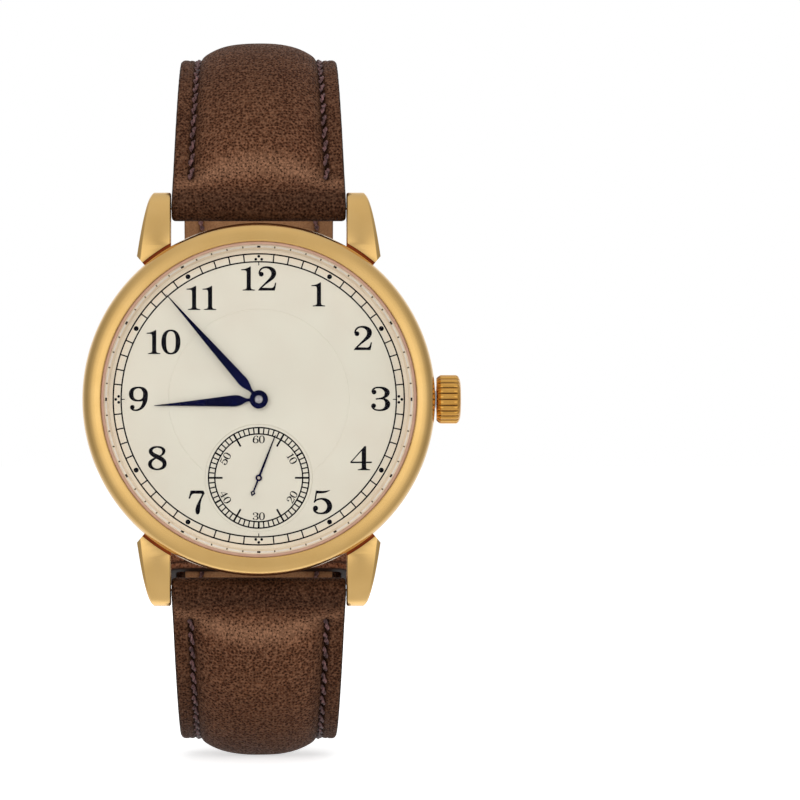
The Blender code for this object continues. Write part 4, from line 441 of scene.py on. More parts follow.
def leatherFinish(name, base, light, dark, worn, bright, rough, pebble=0.38, depth=0.09, crease=1.0,
                  shine=0.12):
    finish, tree, shader = newFinish(name)
    drift = placeGroup(tree, colourDrift, First=srgb(*base), Second=srgb(*light), Size=6.0, Speckle=0.35)
    grain = placeGroup(tree, leatherGrain, Pebble=pebble, Crease=crease, Folds=0.35)
    wear, paintedShade, paintedSheen = (attributeShare(tree, given) for given in ("wear", "paintedShade", "paintedSheen"))
    patch = addMap(tree, grain.outputs["Tone"], 0.38, 0.62)
    rubbed = addMath(tree, "MULTIPLY", wear, addMath(tree, "MULTIPLY_ADD", patch, 0.6, 0.4))
    worked = addMix(tree, rubbed, drift.outputs["Color"], srgb(*worn))
    # painted highlights: the bright colour laid as a highlight band where the leather is marked for it, and a
    # little of it on the middle of each pebble as a glint
    worked = addMix(tree, paintedSheen, worked, srgb(*bright))
    worked = addMix(tree, addMath(tree, "MULTIPLY", grain.outputs["Top"], 0.38), worked, srgb(*bright))
    # painted shade: the dark colour laid where the leather is marked as shaded, in grooves, hollows, holes,
    # folds and along the edges
    shade = addMix(tree, addMath(tree, "MULTIPLY", paintedShade, 0.94), worked, srgb(*dark))
    colour = addMix(tree, addMath(tree, "MULTIPLY", grain.outputs["Crease"], 0.85), shade, srgb(*dark))
    dull = addMap(tree, grain.outputs["Crease"], 0.0, 1.0, rough, rough + 0.3)
    fill(tree, shader, {"Base Color": colour, "Roughness": dull, "Specular IOR Level": shine,
                        "Normal": bumpFrom(tree, grain.outputs["Height"], depth, 0.9)})
    return finish


caseGold = metalFinish("caseGold", (232, 191, 123), (227, 185, 115), 0.2, 0.13)
# painted shade for the groove between lug and bezel
shadedGrooveGold = metalFinish("shadedGrooveGold", (150, 72, 34), (128, 56, 26), 0.4, 0.3)
buckleGold = metalFinish("buckleGold", (244, 206, 122), (240, 200, 114), 0.12, 0.06, depth=0.0006)
# the dark colour is painted shade in the flute hollows
crownGold = metalFinish("crownGold", (230, 176, 92), (218, 160, 76), 0.2, 0.12, hollowShade=(70, 40, 14))
polishedSteel = metalFinish("polishedSteel", (206, 206, 208), (188, 190, 194), 0.28, 0.14)
trainBrass = metalFinish("trainBrass", (222, 186, 110), (206, 166, 90), 0.34, 0.2)
nickelPlate = metalFinish("nickelPlate", (204, 202, 194), (186, 184, 178), 0.38, 0.24, hairline=0.12,
                          depth=0.004)
bluedSteel = metalFinish("bluedSteel", (16, 18, 62), (10, 12, 42), 0.30, 0.2, depth=0.001)
pinSteel = metalFinish("pinSteel", (196, 190, 190), (170, 166, 170), 0.3, 0.2, depth=0.001)
flangeSatin = softFinish("flangeSatin", (247, 227, 201), (241, 219, 192), 0.35, size=3.0, speckle=0.1,
                         depth=0.002)
dialInk = softFinish("dialInk", (9, 8, 14), (15, 13, 20), 0.55, size=0.6, speckle=0.5, depth=0.003,
                     shine=0.04)
# pale dashes of the painted reflection on the flange
reflectionWhite = softFinish("reflectionWhite", (255, 246, 238), (248, 236, 226), 0.4, size=0.6, speckle=0.3,
                        depth=0.002)
sealRubber = softFinish("sealRubber", (26, 26, 27), (38, 38, 40), 0.7, size=0.5, depth=0.01)
gasketNylon = softFinish("gasketNylon", (198, 158, 136), (188, 148, 126), 0.35, size=1.0, depth=0.002)
foamFill = softFinish("foamFill", (196, 186, 168), (172, 160, 142), 0.9, size=0.5, speckle=0.8, depth=0.05)
edgePaint = softFinish("edgePaint", (30, 18, 12), (44, 28, 20), 0.6, size=0.8, depth=0.02, shine=0.15)
# the pale pink in the speckle is painted glints on the waxed thread
threadWax = softFinish("threadWax", (38, 19, 20), (142, 100, 98), 0.36, size=0.5, speckle=0.9, depth=0.03,
                       shine=0.5)
# for each leather: base, light, dark (pores, creases and painted shade), worn, and a bright colour that is a
# painted highlight
strapLeather = leatherFinish("strapLeather", (88, 52, 34), (106, 67, 45), (22, 10, 5), (146, 86, 54),
                             (164, 120, 92), rough=0.54, shine=0.05)
keeperLeather = leatherFinish("keeperLeather", (116, 76, 56), (140, 98, 76), (38, 19, 11), (140, 80, 48),
                              (150, 108, 84), rough=0.54, shine=0.06)
liningLeather = leatherFinish("liningLeather", (146, 104, 72), (164, 120, 86), (92, 60, 38), (176, 132, 92),
                              (176, 132, 92), pebble=0.25, depth=0.02, crease=0.4, rough=0.6)


def dialFinish():  # cream lacquer, a little warmer outside the minute track
    finish, tree, shader = newFinish("dialCream")
    inner = placeGroup(tree, colourDrift, First=srgb(224, 218, 203), Second=srgb(220, 212, 197), Size=5.0,
                       Speckle=0.1)
    rim = placeGroup(tree, colourDrift, First=srgb(233, 219, 198), Second=srgb(229, 213, 192), Size=3.0,
                     Speckle=0.1)
    colour = addMix(tree, attributeShare(tree, "rim"), inner.outputs["Color"], rim.outputs["Color"])
    fill(tree, shader, {"Base Color": colour, "Roughness": 0.42, "Specular IOR Level": 0.3,
                        "Normal": bumpFrom(tree, inner.outputs["Mask"], 0.002)})
    return finish


dialCream = dialFinish()


def clearCrystal():  # thin clear glass: see-through, with its gloss by angle
    finish = bpy.data.materials.new("clearCrystal")
    tree, surface = clearTree(finish, "Material")
    drift = placeGroup(tree, colourDrift, First=(0.995, 0.995, 0.99, 1), Second=(0.985, 0.99, 0.985, 1),
                       Size=9.0, Speckle=0.0)
    clear = addNode(tree, "ShaderNodeBsdfTransparent", {"Color": drift.outputs["Color"]}).outputs[0]
    gloss = addNode(tree, "ShaderNodeBsdfGlossy", {"Roughness": 0.02}).outputs[0]
    angle = addNode(tree, "ShaderNodeFresnel", {"IOR": 1.15}).outputs[0]
    back = addNode(tree, "ShaderNodeNewGeometry").outputs["Backfacing"]
    share = addMath(tree, "MULTIPLY", angle, addMath(tree, "SUBTRACT", 1.0, back))
    tree.links.new(addShader(tree, share, clear, gloss), surface)
    return finish


crystalGlass = clearCrystal()
print("finishes made")

slotFinishes = {"gold_case": caseGold, "gold_buckle": buckleGold, "crystal": crystalGlass,
                "gasket": gasketNylon, "rubber": sealRubber, "dial": dialCream, "blued_steel": bluedSteel,
                "steel": polishedSteel, "brass_wheel": trainBrass, "nickel": nickelPlate,
                "leather_outer": strapLeather, "leather_lining": liningLeather, "padding": foamFill}
for part in frame["record"]["subparts"]:
    node = nodes[part["node"]]
    node.data.materials.clear()
    node.data.materials.append(slotFinishes[part["material_slot"]])


caseShape = dict(steps=192, bezelInner=17.85, bezelFoot=5.20)
crownShape = dict(flutes=24, radius=2.775, inner=20.2, outer=23.0, depth=0.27, height=3.2, recess=1.45,
                  recessEnd=22.15)


def makeBezel():
    outer = throughPoints([(18.0, 8.33), (18.30, 8.295), (18.62, 8.245), (19.06, 8.10), (19.45, 7.80),
                           (19.76, 7.30), (19.95, 6.65), (20.0, 6.05), (19.97, 5.62), (19.86, 5.27)], 5)
    inner, foot = caseShape["bezelInner"], caseShape["bezelFoot"]
    profile = [(inner, 8.14), (inner + 0.03, 8.23), (inner + 0.09, 8.31)]
    profile += outer + [(19.78, foot), (inner, foot)]
    piece = rawPiece("bezel", *turned(profile, caseShape["steps"]))
    settle(piece, "case", caseGold, ["bezel"], 50)


def makeBand():
    side = throughPoints([(19.70, 5.12), (19.86, 4.92), (19.92, 4.40), (19.90, 3.7), (19.82, 3.0),
                          (19.66, 2.3), (19.40, 1.7), (19.0, 1.2), (18.52, 0.80)], 5)
    inside = [(18.4, 0.75), (17.80, 0.75), (17.80, 1.20), (17.20, 1.20), (17.20, 0.75), (16.95, 0.75),
              (16.95, 2.0), (16.40, 2.0), (16.40, 5.15)]
    profile = [(19.60, 5.15)] + side + inside
    band = rawPiece("caseBand", *turned(profile, caseShape["steps"]))
    drill(band, 1.03, 15, 21, 48, lambda a, b, c: headPoint(c, a, crownShape["height"] + b))
    settle(band, "case", caseGold, ["case_middle"], 40)


lugShape = dict(gap=20.0, endWidth=2.12, rootWidth=4.15, length=9.6, tip=23.6, rootRadius=18.3, bevel=0.22,
                bevelGrowth=0.70, innerBevel=0.24, cutAngle=49.6, pinHole=0.45, barOut=22.0, barHeight=1.9)


def makeLug(name, signX, signY):
    shape = lugShape
    root = shape["tip"] - shape["length"]
    top = throughPoints([(root, 5.10), (17.5, 5.05), (19.5, 4.72), (21.3, 4.02), (22.7, 2.95), (23.48, 1.75),
                         (23.6, 0.75), (23.45, -0.05)], 5)
    under = throughPoints([(23.3, -0.28), (22.9, -0.45), (22.1, -0.43), (20.5, 0.05), (18.8, 0.60),
                           (root, 0.85)], 4)
    outline = top + under

    def width(y):
        share = max((shape["tip"] - y) / shape["length"], 0.0)
        return shape["endWidth"] + (shape["rootWidth"] - shape["endWidth"]) * share ** 0.62

    bevels = [shape["bevel"] + shape["bevelGrowth"] * (shape["tip"] - y) / shape["tip"] for y, z in outline]
    rounds = [("in", drop, inset) for drop, inset in quarterRound(shape["innerBevel"], 3)]
    rounds += [("out", 1.12, 0.0), ("out", 1.0, 0.035), ("out", 0.88, 0.12), ("out", 0.5, 0.5),
               ("out", 0.12, 0.88), ("out", 0.03, 1.0), ("out", 0.0, 1.12)]
    rings = []
    for kind, drop, inset in rounds:
        amounts = [inset] * len(outline) if kind == "in" else [bevel * inset for bevel in bevels]
        ring = []
        for (y, z), (startY, _), bevel in zip(insetLine(outline, amounts), outline, bevels):
            x = drop if kind == "in" else width(startY) - bevel * drop
            x += shape["gap"] / 2
            if startY == root:
                y = math.sqrt(shape["rootRadius"] ** 2 - x ** 2)
            ring.append(headPoint(signX * x, signY * y, z))
        rings.append(ring)
    lug = rawPiece(name, *lofted(rings))
    inside = shape["gap"] / 2
    drill(lug, shape["pinHole"], inside - 1, inside + 1.35, 32,
          lambda a, b, c: headPoint(signX * c, signY * shape["barOut"] + a, shape["barHeight"] + b))
    ditch = rawPiece("ditch", *turned([(17.0, 4.5), (20.38, 4.5), (20.38, 6.0), (17.0, 6.0)], 192))
    carve(lug, ditch)
    edge = math.radians(shape["cutAngle"])
    wedge = [(19.4, edge), (26.0, edge), (26.0, edge - 0.35), (19.4, edge - 0.35)]
    punch(lug, wedge, (-2, 7), lambda r, a, z: headPoint(signX * r * math.cos(a), signY * r * math.sin(a), z))
    for polygon in lug.data.polygons:  # the groove beside the bezel gets a darker copper gold as painted shade
        x, y, z = polygon.center.x / mm, polygon.center.z / mm, -polygon.center.y / mm
        inward = (polygon.normal.x * x + polygon.normal.z * y) / math.hypot(x, y)
        inGroove = z > 4.4 and math.hypot(x, y) < 20.5 and (inward < -0.5 or z < 4.6)
        polygon.material_index = 1 if inGroove else 0
    settle(lug, "case", [caseGold, shadedGrooveGold], ["case_middle"], 24)


def makeCaseBack():
    rim = softCorners([(18.4, 0.7), (18.2, 0.22), (17.0, 0.0), (0.5, 0.0)], [0.08, 0.2, 0.3, 0.0], 3)
    profile = [(0, 1.1), (15.55, 1.1), (15.55, 1.9), (16.9, 1.9), (16.9, 0.7)] + rim + [(0, 0)]
    back = rawPiece("caseBack", *turned(profile, 144, ring=False))
    for i in range(6):
        turn = Matrix.Rotation(math.radians(60 * i + 15), 3, "Z")
        corners = softCorners([(15.3, -1.1), (15.3, 1.1), (16.7, 1.1), (16.7, -1.1)], 0.3, 3)
        punch(back, corners, (-1.0, 0.35), lambda x, y, z, turn=turn: headPoint(*(turn @ Vector((x, y, z)))))
    finish = metalFinish("backGold", (224, 178, 110), (220, 174, 106), 0.38, 0.3, hairline=0.10, depth=0.006)
    settle(back, "case", finish, ["case_back"], 25)


# where the painted reflection of the minute track lies on the flange slope
flangeReflection = dict(foot=17.03, footZ=5.80, slope=0.41 / 1.26, dashLow=6.42, dashHigh=6.86, tickLow=6.36,
                   tickHigh=6.90, hourTick=0.62, minuteTick=0.19)


def makeFlangeScale():  # painted reflection of the minute track, as the flange would reflect it: a line of pale dashes on the slope, with a dark tick at every minute
    scale = flangeReflection

    def slopePoint(angle, z, lift):
        r = scale["foot"] + (z - scale["footZ"]) * scale["slope"] - lift
        return headPoint(r * math.sin(math.radians(angle)), r * math.cos(math.radians(angle)), z)

    def strip(start, end, low, high, lift, count):
        corners = ((low, -0.01), (high, -0.01), (high, lift), (low, lift))
        angles = [start + (end - start) * k / count for k in range(count + 1)]
        return lofted([[slopePoint(angle, z, rise) for z, rise in corners] for angle in angles])

    dashes = [strip(6 * m + 0.42, 6 * m + 5.58, scale["dashLow"], scale["dashHigh"], 0.02, 5)
              for m in range(60)]
    settle(rawPiece("flangeReflectionDashes", *joined(*dashes)), "case", reflectionWhite)
    halves = [scale["minuteTick" if m % 5 else "hourTick"] for m in range(60)]
    ticks = [strip(6 * m - half, 6 * m + half, scale["tickLow"], scale["tickHigh"], 0.024, 2)
             for m, half in enumerate(halves)]
    settle(rawPiece("flangeReflectionTicks", *joined(*ticks)), "case", dialInk)


def makeCrystal():
    radius, edge, dome, thick = 17.49, 8.10, 0.85, 1.10
    shares = [i / 24 for i in range(24)] + [0.985]
    outer = [(radius * s, edge + dome * (1 - s * s)) for s in shares]
    rim = [(radius - 0.10, edge + 0.015), (radius - 0.02, edge - 0.05), (radius, edge - 0.14), (radius, 7.17),
           (radius - 0.02, 7.15)]
    inner = [(min(r, radius - 0.6), z - thick) for r, z in reversed(outer)]
    inner = [(radius - 0.45, 7.15)] + [p for p in inner if p[0] < radius - 0.6]
    crystal = rawPiece("crystal", *turned(outer + rim + inner, 160, ring=False))
    settle(crystal, "case", crystalGlass, ["crystal"], 40)
    ring = rawPiece("crystalGasket", *turned([(17.82, 7.93), (17.80, 7.95), (17.54, 7.95), (17.52, 7.93),
                                              (17.52, 7.15), (17.82, 7.15)], 160))
    settle(ring, "case", gasketNylon, ["crystal_gasket"])
    flange = rawPiece("flange", *turned([(17.80, 7.10), (17.80, 5.70), (17.01, 5.70), (17.03, 5.80),
                                         (17.44, 7.06), (17.47, 7.10)], 192))
    settle(flange, "case", flangeSatin, ["flange_ring"], 30)
    makeFlangeScale()


makeBezel()
makeBand()
for lugName, signX, signY in (("lugTopRight", 1, 1), ("lugTopLeft", -1, 1), ("lugBottomRight", 1, -1),
                              ("lugBottomLeft", -1, -1)):
    makeLug(lugName, signX, signY)
makeCaseBack()
makeCrystal()
print("case made")


def makeCrown():
    shape = crownShape
    radius, inner, outer = shape["radius"], shape["inner"], shape["outer"]
    steps = shape["flutes"] * 10
    profile = [(0, outer, 0), (0.9, outer - 0.008, 0), (1.6, outer - 0.035, 0), (2.02, outer - 0.07, 0),
               (2.3, outer - 0.15, 0), (2.48, outer - 0.24, 0.1), (2.62, outer - 0.33, 0.5),
               (2.71, outer - 0.43, 0.9), (radius, outer - 0.58, 1)]
    profile += [(radius, outer - 0.58 - (outer - inner - 1.06) * i / 5, 1) for i in range(1, 6)]
    profile += [(2.70, inner + 0.34, 0.9), (2.58, inner + 0.16, 0.5), (2.44, inner + 0.03, 0.1),
                (2.38, inner, 0), (shape["recess"] + 0.05, inner, 0), (shape["recess"], inner + 0.05, 0),
                (shape["recess"], shape["recessEnd"], 0), (0, shape["recessEnd"], 0)]
    verts, rows = [], []
    for base, x, share in profile:
        if base == 0:
            rows.append([len(verts)] * steps)
            verts.append(headPoint(x, 0, shape["height"]))
            continue
        rows.append([len(verts) + i for i in range(steps)])
        for i in range(steps):
            angle = 2 * math.pi * (i + 0.5) / steps
            lobe = abs(math.sin(shape["flutes"] / 2 * angle)) ** 0.42
            r = base - shape["depth"] * share * (1 - lobe)
            verts.append(headPoint(x, r * math.cos(angle), shape["height"] + r * math.sin(angle)))
    crown = rawPiece("crown", verts, bridged(zip(rows, rows[1:])))
    # painted shade: 1 in the hollows between the flutes, along the fluted part
    hollowShade, = pointShares(crown, "hollowShade")
    for i, vertex in enumerate(crown.data.vertices):
        x, y, z = vertex.co.x / mm, vertex.co.z / mm, -vertex.co.y / mm - shape["height"]
        lobe = abs(math.sin(shape["flutes"] / 2 * math.atan2(z, y)))
        ridged = smoothStep((x - inner - 0.05) / 0.2) * smoothStep((outer - 0.32 - x) / 0.15)
        hollowShade[i].value = (1 - smoothStep((lobe - 0.05) / 0.5)) * ridged if math.hypot(y, z) > 2 else 0.0
    settle(crown, "crown", crownGold, ["crown"], 40)


makeCrown()
print("crown made")


dialShape = dict(radius=17.5, under=5.25, top=5.65, stepRadius=10.2, secondsY=-8.9, recess=6.1,
                 recessDepth=0.12, handBore=0.95, secondsBore=0.36, ink=0.018, inkRoot=0.03)
trackShape = dict(outer=16.5, inner=15.6, line=0.16, tick=0.145, dot=0.28, smallDot=0.16, dotRadius=16.05,
                  numberSize=2.73, gap=0.05)
smallTrack = dict(outer=5.70, inner=4.98, line=0.155, tick=0.145, wideTick=1.45, longTick=4.10,
                  numberRadius=4.36, numberSize=0.85, gap=0.05)


def makeDial():
    shape = dialShape
    top = shape["top"]
    ring = shape["stepRadius"]
    profile = [(0, shape["under"]), (shape["radius"], shape["under"]), (shape["radius"], top - 0.03),
               (shape["radius"] - 0.03, top), (16.62, top), (15.48, top),
               (ring + 0.07, top), (ring + 0.02, top - 0.03), (ring - 0.02, top - 0.03),
               (ring - 0.07, top - 0.004), (0, top - 0.004)]
    dial = rawPiece("dial", *turned(profile, 192, ring=False))
    floor = top - shape["recessDepth"]
    edge = shape["recess"]
    cup = [(0, floor), (edge - 0.07, floor), (edge - 0.02, floor + 0.03), (edge, top - 0.02),
           (edge + 0.05, top + 0.03), (edge + 0.05, 9), (0, 9)]
    carve(dial, rawPiece("cup", *turned(cup, 144, shiftedPlace(shape["secondsY"]), ring=False)))
    for radius, y in ((shape["handBore"], 0.0), (shape["secondsBore"], shape["secondsY"])):
        drill(dial, radius, 5, 6, 40, shiftedPlace(y))
    rim, = pointShares(dial, "rim")
    for i, vertex in enumerate(dial.data.vertices):
        rim[i].value = smoothStep((math.hypot(vertex.co.x, vertex.co.z) / mm - 15.4) / 1.3)
    settle(dial, "case", dialCream, ["dial"], 20)


def strokeShape(points, per=5):  # outline of a stroke given as (x, y, width)
    line = throughPoints(points, per)
    left, right = [], []
    for i, (x, y, width) in enumerate(line):
        before, after = line[max(i - 1, 0)], line[min(i + 1, len(line) - 1)]
        side = Vector((before[1] - after[1], after[0] - before[0])).normalized() * (width / 2 + 0.008)
        left.append((x + side.x, y + side.y))
        right.append((x - side.x, y - side.y))
    return [[left[i], left[i + 1], right[i + 1], right[i]] for i in range(len(line) - 1)]


def ball(x, y, radius):
    return [circlePoints(radius, 20, (x, y))]


def digitShapes():  # each digit as overlapping outlines, one unit high from the base line; (width, outlines)
    foot = [(-0.255, 0), (-0.255, 0.036), (-0.16, 0.05), (-0.105, 0.075), (-0.086, 0.13), (0.086, 0.13),
            (0.105, 0.075), (0.16, 0.05), (0.255, 0.036), (0.255, 0)]

    def footAt(x):
        return [[(x + px, py) for px, py in foot]]

    def ellipseStroke(cx, cy, halfWide, halfHigh, thick, thin):
        line = []
        for i in range(25):
            angle = 2 * math.pi * i / 24
            width = thin + (thick - thin) * abs(math.cos(angle)) ** 1.6
            line.append((cx + (halfWide - width / 2) * math.cos(angle),
                         cy + (halfHigh - thin / 2) * math.sin(angle), width))
        return strokeShape(line, 3)

    one = [[(0.224, 0.05), (0.396, 0.05), (0.396, 1.0), (0.36, 1.0), (0.30, 0.962), (0.21, 0.92),
            (0.11, 0.892), (0.0, 0.885), (0.0, 0.84), (0.13, 0.842), (0.19, 0.828), (0.218, 0.79),
            (0.224, 0.72)]] + footAt(0.31)
    two = strokeShape([(0.045, 0.70, 0.05), (0.085, 0.84, 0.055), (0.19, 0.935, 0.055), (0.34, 0.968, 0.062),
                       (0.50, 0.93, 0.11), (0.62, 0.83, 0.17), (0.655, 0.70, 0.185), (0.60, 0.56, 0.15),
                       (0.46, 0.42, 0.10), (0.30, 0.28, 0.065), (0.16, 0.15, 0.05), (0.06, 0.05, 0.05)])
    two += ball(0.135, 0.68, 0.10)
    two += [[(0, 0), (0.02, 0.045), (0.10, 0.095), (0.20, 0.118), (0.42, 0.112), (0.56, 0.108), (0.63, 0.135),
             (0.675, 0.20), (0.705, 0.325), (0.757, 0.325), (0.73, 0.14), (0.695, 0)]]
    three = strokeShape([(0.045, 0.79, 0.05), (0.09, 0.90, 0.05), (0.21, 0.965, 0.05), (0.38, 0.972, 0.055),
                         (0.55, 0.92, 0.12), (0.665, 0.80, 0.195), (0.65, 0.68, 0.17), (0.56, 0.58, 0.085),
                         (0.42, 0.525, 0.05), (0.20, 0.495, 0.045)])
    three += strokeShape([(0.34, 0.515, 0.05), (0.50, 0.505, 0.06), (0.62, 0.44, 0.12), (0.69, 0.31, 0.20),
                          (0.66, 0.17, 0.17), (0.54, 0.065, 0.09), (0.38, 0.03, 0.055), (0.21, 0.045, 0.05),
                          (0.09, 0.11, 0.05), (0.03, 0.21, 0.05)])
    three += ball(0.13, 0.785, 0.098) + ball(0.11, 0.215, 0.10)
    four = [[(0.47, 0.04), (0.657, 0.04), (0.657, 1.0), (0.60, 1.0), (0.47, 0.84)],
            [(0.0, 0.295), (0.0, 0.345), (0.585, 1.0), (0.655, 1.0), (0.60, 0.94), (0.06, 0.345)],
            [(0.0, 0.295), (0.0, 0.36), (0.89, 0.36), (0.89, 0.295)]] + footAt(0.5635)
    five = [[(0.13, 0.985), (0.25, 0.972), (0.42, 0.965), (0.55, 0.972), (0.66, 0.992), (0.71, 1.0),
             (0.72, 0.982), (0.64, 0.935), (0.54, 0.89), (0.42, 0.868), (0.30, 0.862), (0.16, 0.862)],
            [(0.13, 0.985), (0.18, 0.87), (0.128, 0.60), (0.06, 0.475), (0.04, 0.485), (0.072, 0.60),
             (0.108, 0.85)]]
    five += strokeShape([(0.05, 0.485, 0.04), (0.12, 0.565, 0.06), (0.22, 0.615, 0.055), (0.36, 0.638, 0.06),
                         (0.50, 0.605, 0.11), (0.63, 0.51, 0.17), (0.70, 0.37, 0.19), (0.68, 0.22, 0.18),
                         (0.58, 0.10, 0.13), (0.45, 0.045, 0.075), (0.33, 0.033, 0.055), (0.20, 0.05, 0.06),
                         (0.09, 0.12, 0.075), (0.045, 0.22, 0.07)])
    five += ball(0.115, 0.245, 0.108)
    seven = [[(0.085, 0.985), (0.115, 1.0), (0.60, 1.0), (0.635, 0.975), (0.675, 0.885), (0.60, 0.80),
              (0.545, 0.868), (0.24, 0.868), (0.15, 0.84), (0.105, 0.77), (0.075, 0.675), (0.035, 0.65),
              (0.0, 0.68), (0.04, 0.80)]]
    seven += [[(0.57, 0.868), (0.50, 0.71), (0.42, 0.55), (0.33, 0.37), (0.29, 0.22), (0.292, 0.11),
               (0.325, 0.03), (0.385, 0.0), (0.44, 0.03), (0.475, 0.11), (0.49, 0.25), (0.505, 0.45),
               (0.55, 0.64), (0.61, 0.77), (0.675, 0.885)]]
    eight = strokeShape([(0.38, 0.97, 0.055), (0.22, 0.935, 0.085), (0.115, 0.84, 0.13), (0.12, 0.73, 0.15),
                         (0.24, 0.625, 0.16), (0.40, 0.545, 0.17), (0.58, 0.44, 0.17), (0.675, 0.32, 0.16),
                         (0.67, 0.19, 0.14), (0.57, 0.08, 0.09), (0.38, 0.028, 0.055), (0.19, 0.08, 0.09),
                         (0.08, 0.20, 0.14), (0.09, 0.33, 0.13), (0.20, 0.44, 0.08), (0.36, 0.53, 0.05),
                         (0.54, 0.615, 0.055), (0.635, 0.72, 0.10), (0.645, 0.83, 0.12), (0.55, 0.93, 0.08),
                         (0.38, 0.97, 0.055)])
    nine = ellipseStroke(0.385, 0.70, 0.385, 0.30, 0.175, 0.055)
    nine += strokeShape([(0.55, 0.93, 0.10), (0.665, 0.80, 0.17), (0.68, 0.62, 0.185), (0.655, 0.40, 0.165),
                         (0.57, 0.20, 0.12), (0.44, 0.075, 0.075), (0.30, 0.03, 0.055), (0.17, 0.045, 0.05),
                         (0.075, 0.11, 0.05)])
    nine += ball(0.135, 0.155, 0.095)
    zero = ellipseStroke(0.39, 0.5, 0.39, 0.51, 0.185, 0.055)
    six = [[(0.77 - x, 1 - y) for x, y in outline] for outline in nine]
    return {"0": (0.78, zero), "1": (0.565, one), "2": (0.757, two), "3": (0.79, three), "4": (0.89, four),
            "5": (0.79, five), "6": (0.77, six), "7": (0.675, seven), "8": (0.76, eight), "9": (0.77, nine)}


digits = digitShapes()


def numberShapes(text, size, gap):  # outlines of a number, centred on its own middle
    shapes, start = [], 0.0
    for character in text:
        width, outlines = digits[character]
        shapes += [[(x + start, y) for x, y in outline] for outline in outlines]
        start += width + gap
    middle = (start - gap) / 2
    return [[((x - middle) * size, (y - 0.5) * size) for x, y in outline] for outline in shapes]


def mergeFlat(outlines):  # one flat mesh from overlapping outlines: (points, triangles)
    points, rims = [], []
    for outline in outlines:
        area = sum(a[0] * b[1] - b[0] * a[1] for a, b in zip(outline, outline[1:] + outline[:1]))
        outline = outline if area > 0 else outline[::-1]
        rims.append(list(range(len(points), len(points) + len(outline))))
        points += [Vector(p) for p in outline]
    merged = delaunay_2d_cdt(points, [], rims, 1, 1e-5)
    keep = [list(face) for face, source in zip(merged[2], merged[5]) if source]
    return merged[0], keep


def inkPiece(name, outlines, low, high, place):  # the outlines as one thin layer of ink
    points, triangles = mergeFlat(outlines)
    used = sorted({i for face in triangles for i in face})
    order = {i: k for k, i in enumerate(used)}
    count = len(used)
    verts = [place(points[i][0], points[i][1], z) for z in (low, high) for i in used]
    faces, edges = [], {}
    for face in triangles:
        a, b, c = (order[i] for i in face)
        faces += [(count + a, count + b, count + c), (c, b, a)]
        edges.update({(a, b): True, (b, c): True, (c, a): True})
    for first, second in edges:
        if (second, first) not in edges:
            faces.append((first, second, count + second, count + first))
    settle(rawPiece(name, verts, faces), "case", dialInk)


def band(inner, outer):  # a thin ring on the dial
    steps = 240
    far, near = circlePoints(outer, steps), circlePoints(inner, steps)
    return [[far[i], far[j], near[j], near[i]] for i, j in zip(range(steps), [*range(1, steps), 0])]


def ray(angle, near, far, width):  # a straight mark from near to far, angle clockwise from the top
    turn = math.radians(angle)
    out = Vector((math.sin(turn), math.cos(turn)))
    side = Vector((out.y, -out.x)) * (width / 2)
    return [tuple(out * near + side), tuple(out * near - side), tuple(out * far - side),
            tuple(out * far + side)]


def polar(angle, radius, shift=0.0):  # a point by angle from the top, moved sideways by the shift
    turn = math.radians(angle)
    return (radius * math.sin(turn) + shift * math.cos(turn),
            radius * math.cos(turn) - shift * math.sin(turn))


def trackLines(track):
    half = track["line"] / 2
    outer, inner = (band(track[line] - half, track[line] + half) for line in ("outer", "inner"))
    return outer + inner


def makePrint():
    track, shape = trackShape, dialShape
    outlines = trackLines(track)
    for minute in range(60):
        if minute % 5:
            outlines.append(ray(minute * 6, track["inner"], track["outer"], track["tick"]))
    for hour in range(12):
        if hour % 3:
            outlines.append(circlePoints(track["dot"], 24, polar(hour * 30, track["dotRadius"])))
        else:
            outlines.append(ray(hour * 30, track["inner"] - 0.40, track["inner"], 0.10))
            for radius, shift in ((16.22, 0), (15.88, 0.335), (15.88, -0.335)):
                outlines.append(circlePoints(track["smallDot"], 16, polar(hour * 30, radius, shift)))
    places = {"12": (0.0, 13.70), "1": (6.75, 11.90), "2": (11.80, 6.95), "3": (13.80, 0.05),
              "4": (11.60, -6.67), "5": (7.20, -11.65), "7": (-7.05, -11.70), "8": (-11.50, -6.66),
              "9": (-13.65, 0.05), "10": (-10.80, 6.50), "11": (-6.50, 11.50)}
    gaps = {"12": 0.13, "10": 0.05, "11": 0.10}
    for text, (x, y) in places.items():
        outlines += [[(px + x, py + y) for px, py in outline]
                     for outline in numberShapes(text, track["numberSize"], gaps.get(text, track["gap"]))]
    inkPiece("hourNumbers", outlines, shape["top"] - shape["inkRoot"], shape["top"] + shape["ink"], headPoint)

    small = smallTrack
    outlines = trackLines(small)
    for second in range(60):
        wide = small["tick"] * (small["wideTick"] if second % 5 == 0 else 1.0)
        near = small["longTick"] if second % 10 == 5 else small["inner"]
        outlines.append(ray(second * 6, near, small["outer"], wide))
    for i, turn in enumerate((0, 60, -60, 0, 60, -60)):  # the lean of each number
        spin = Matrix.Rotation(-math.radians(turn), 2)
        centre = Vector(polar(60 * i, small["numberRadius"]))
        outlines += [[tuple(centre + spin @ Vector(p)) for p in outline]
                     for outline in numberShapes(str(10 * i or 60), small["numberSize"], small["gap"])]
    floor = shape["top"] - shape["recessDepth"]
    inkPiece("secondsNumbers", outlines, floor - shape["inkRoot"], floor + shape["ink"],
             shiftedPlace(shape["secondsY"]))


makeDial()
makePrint()
print("dial made")


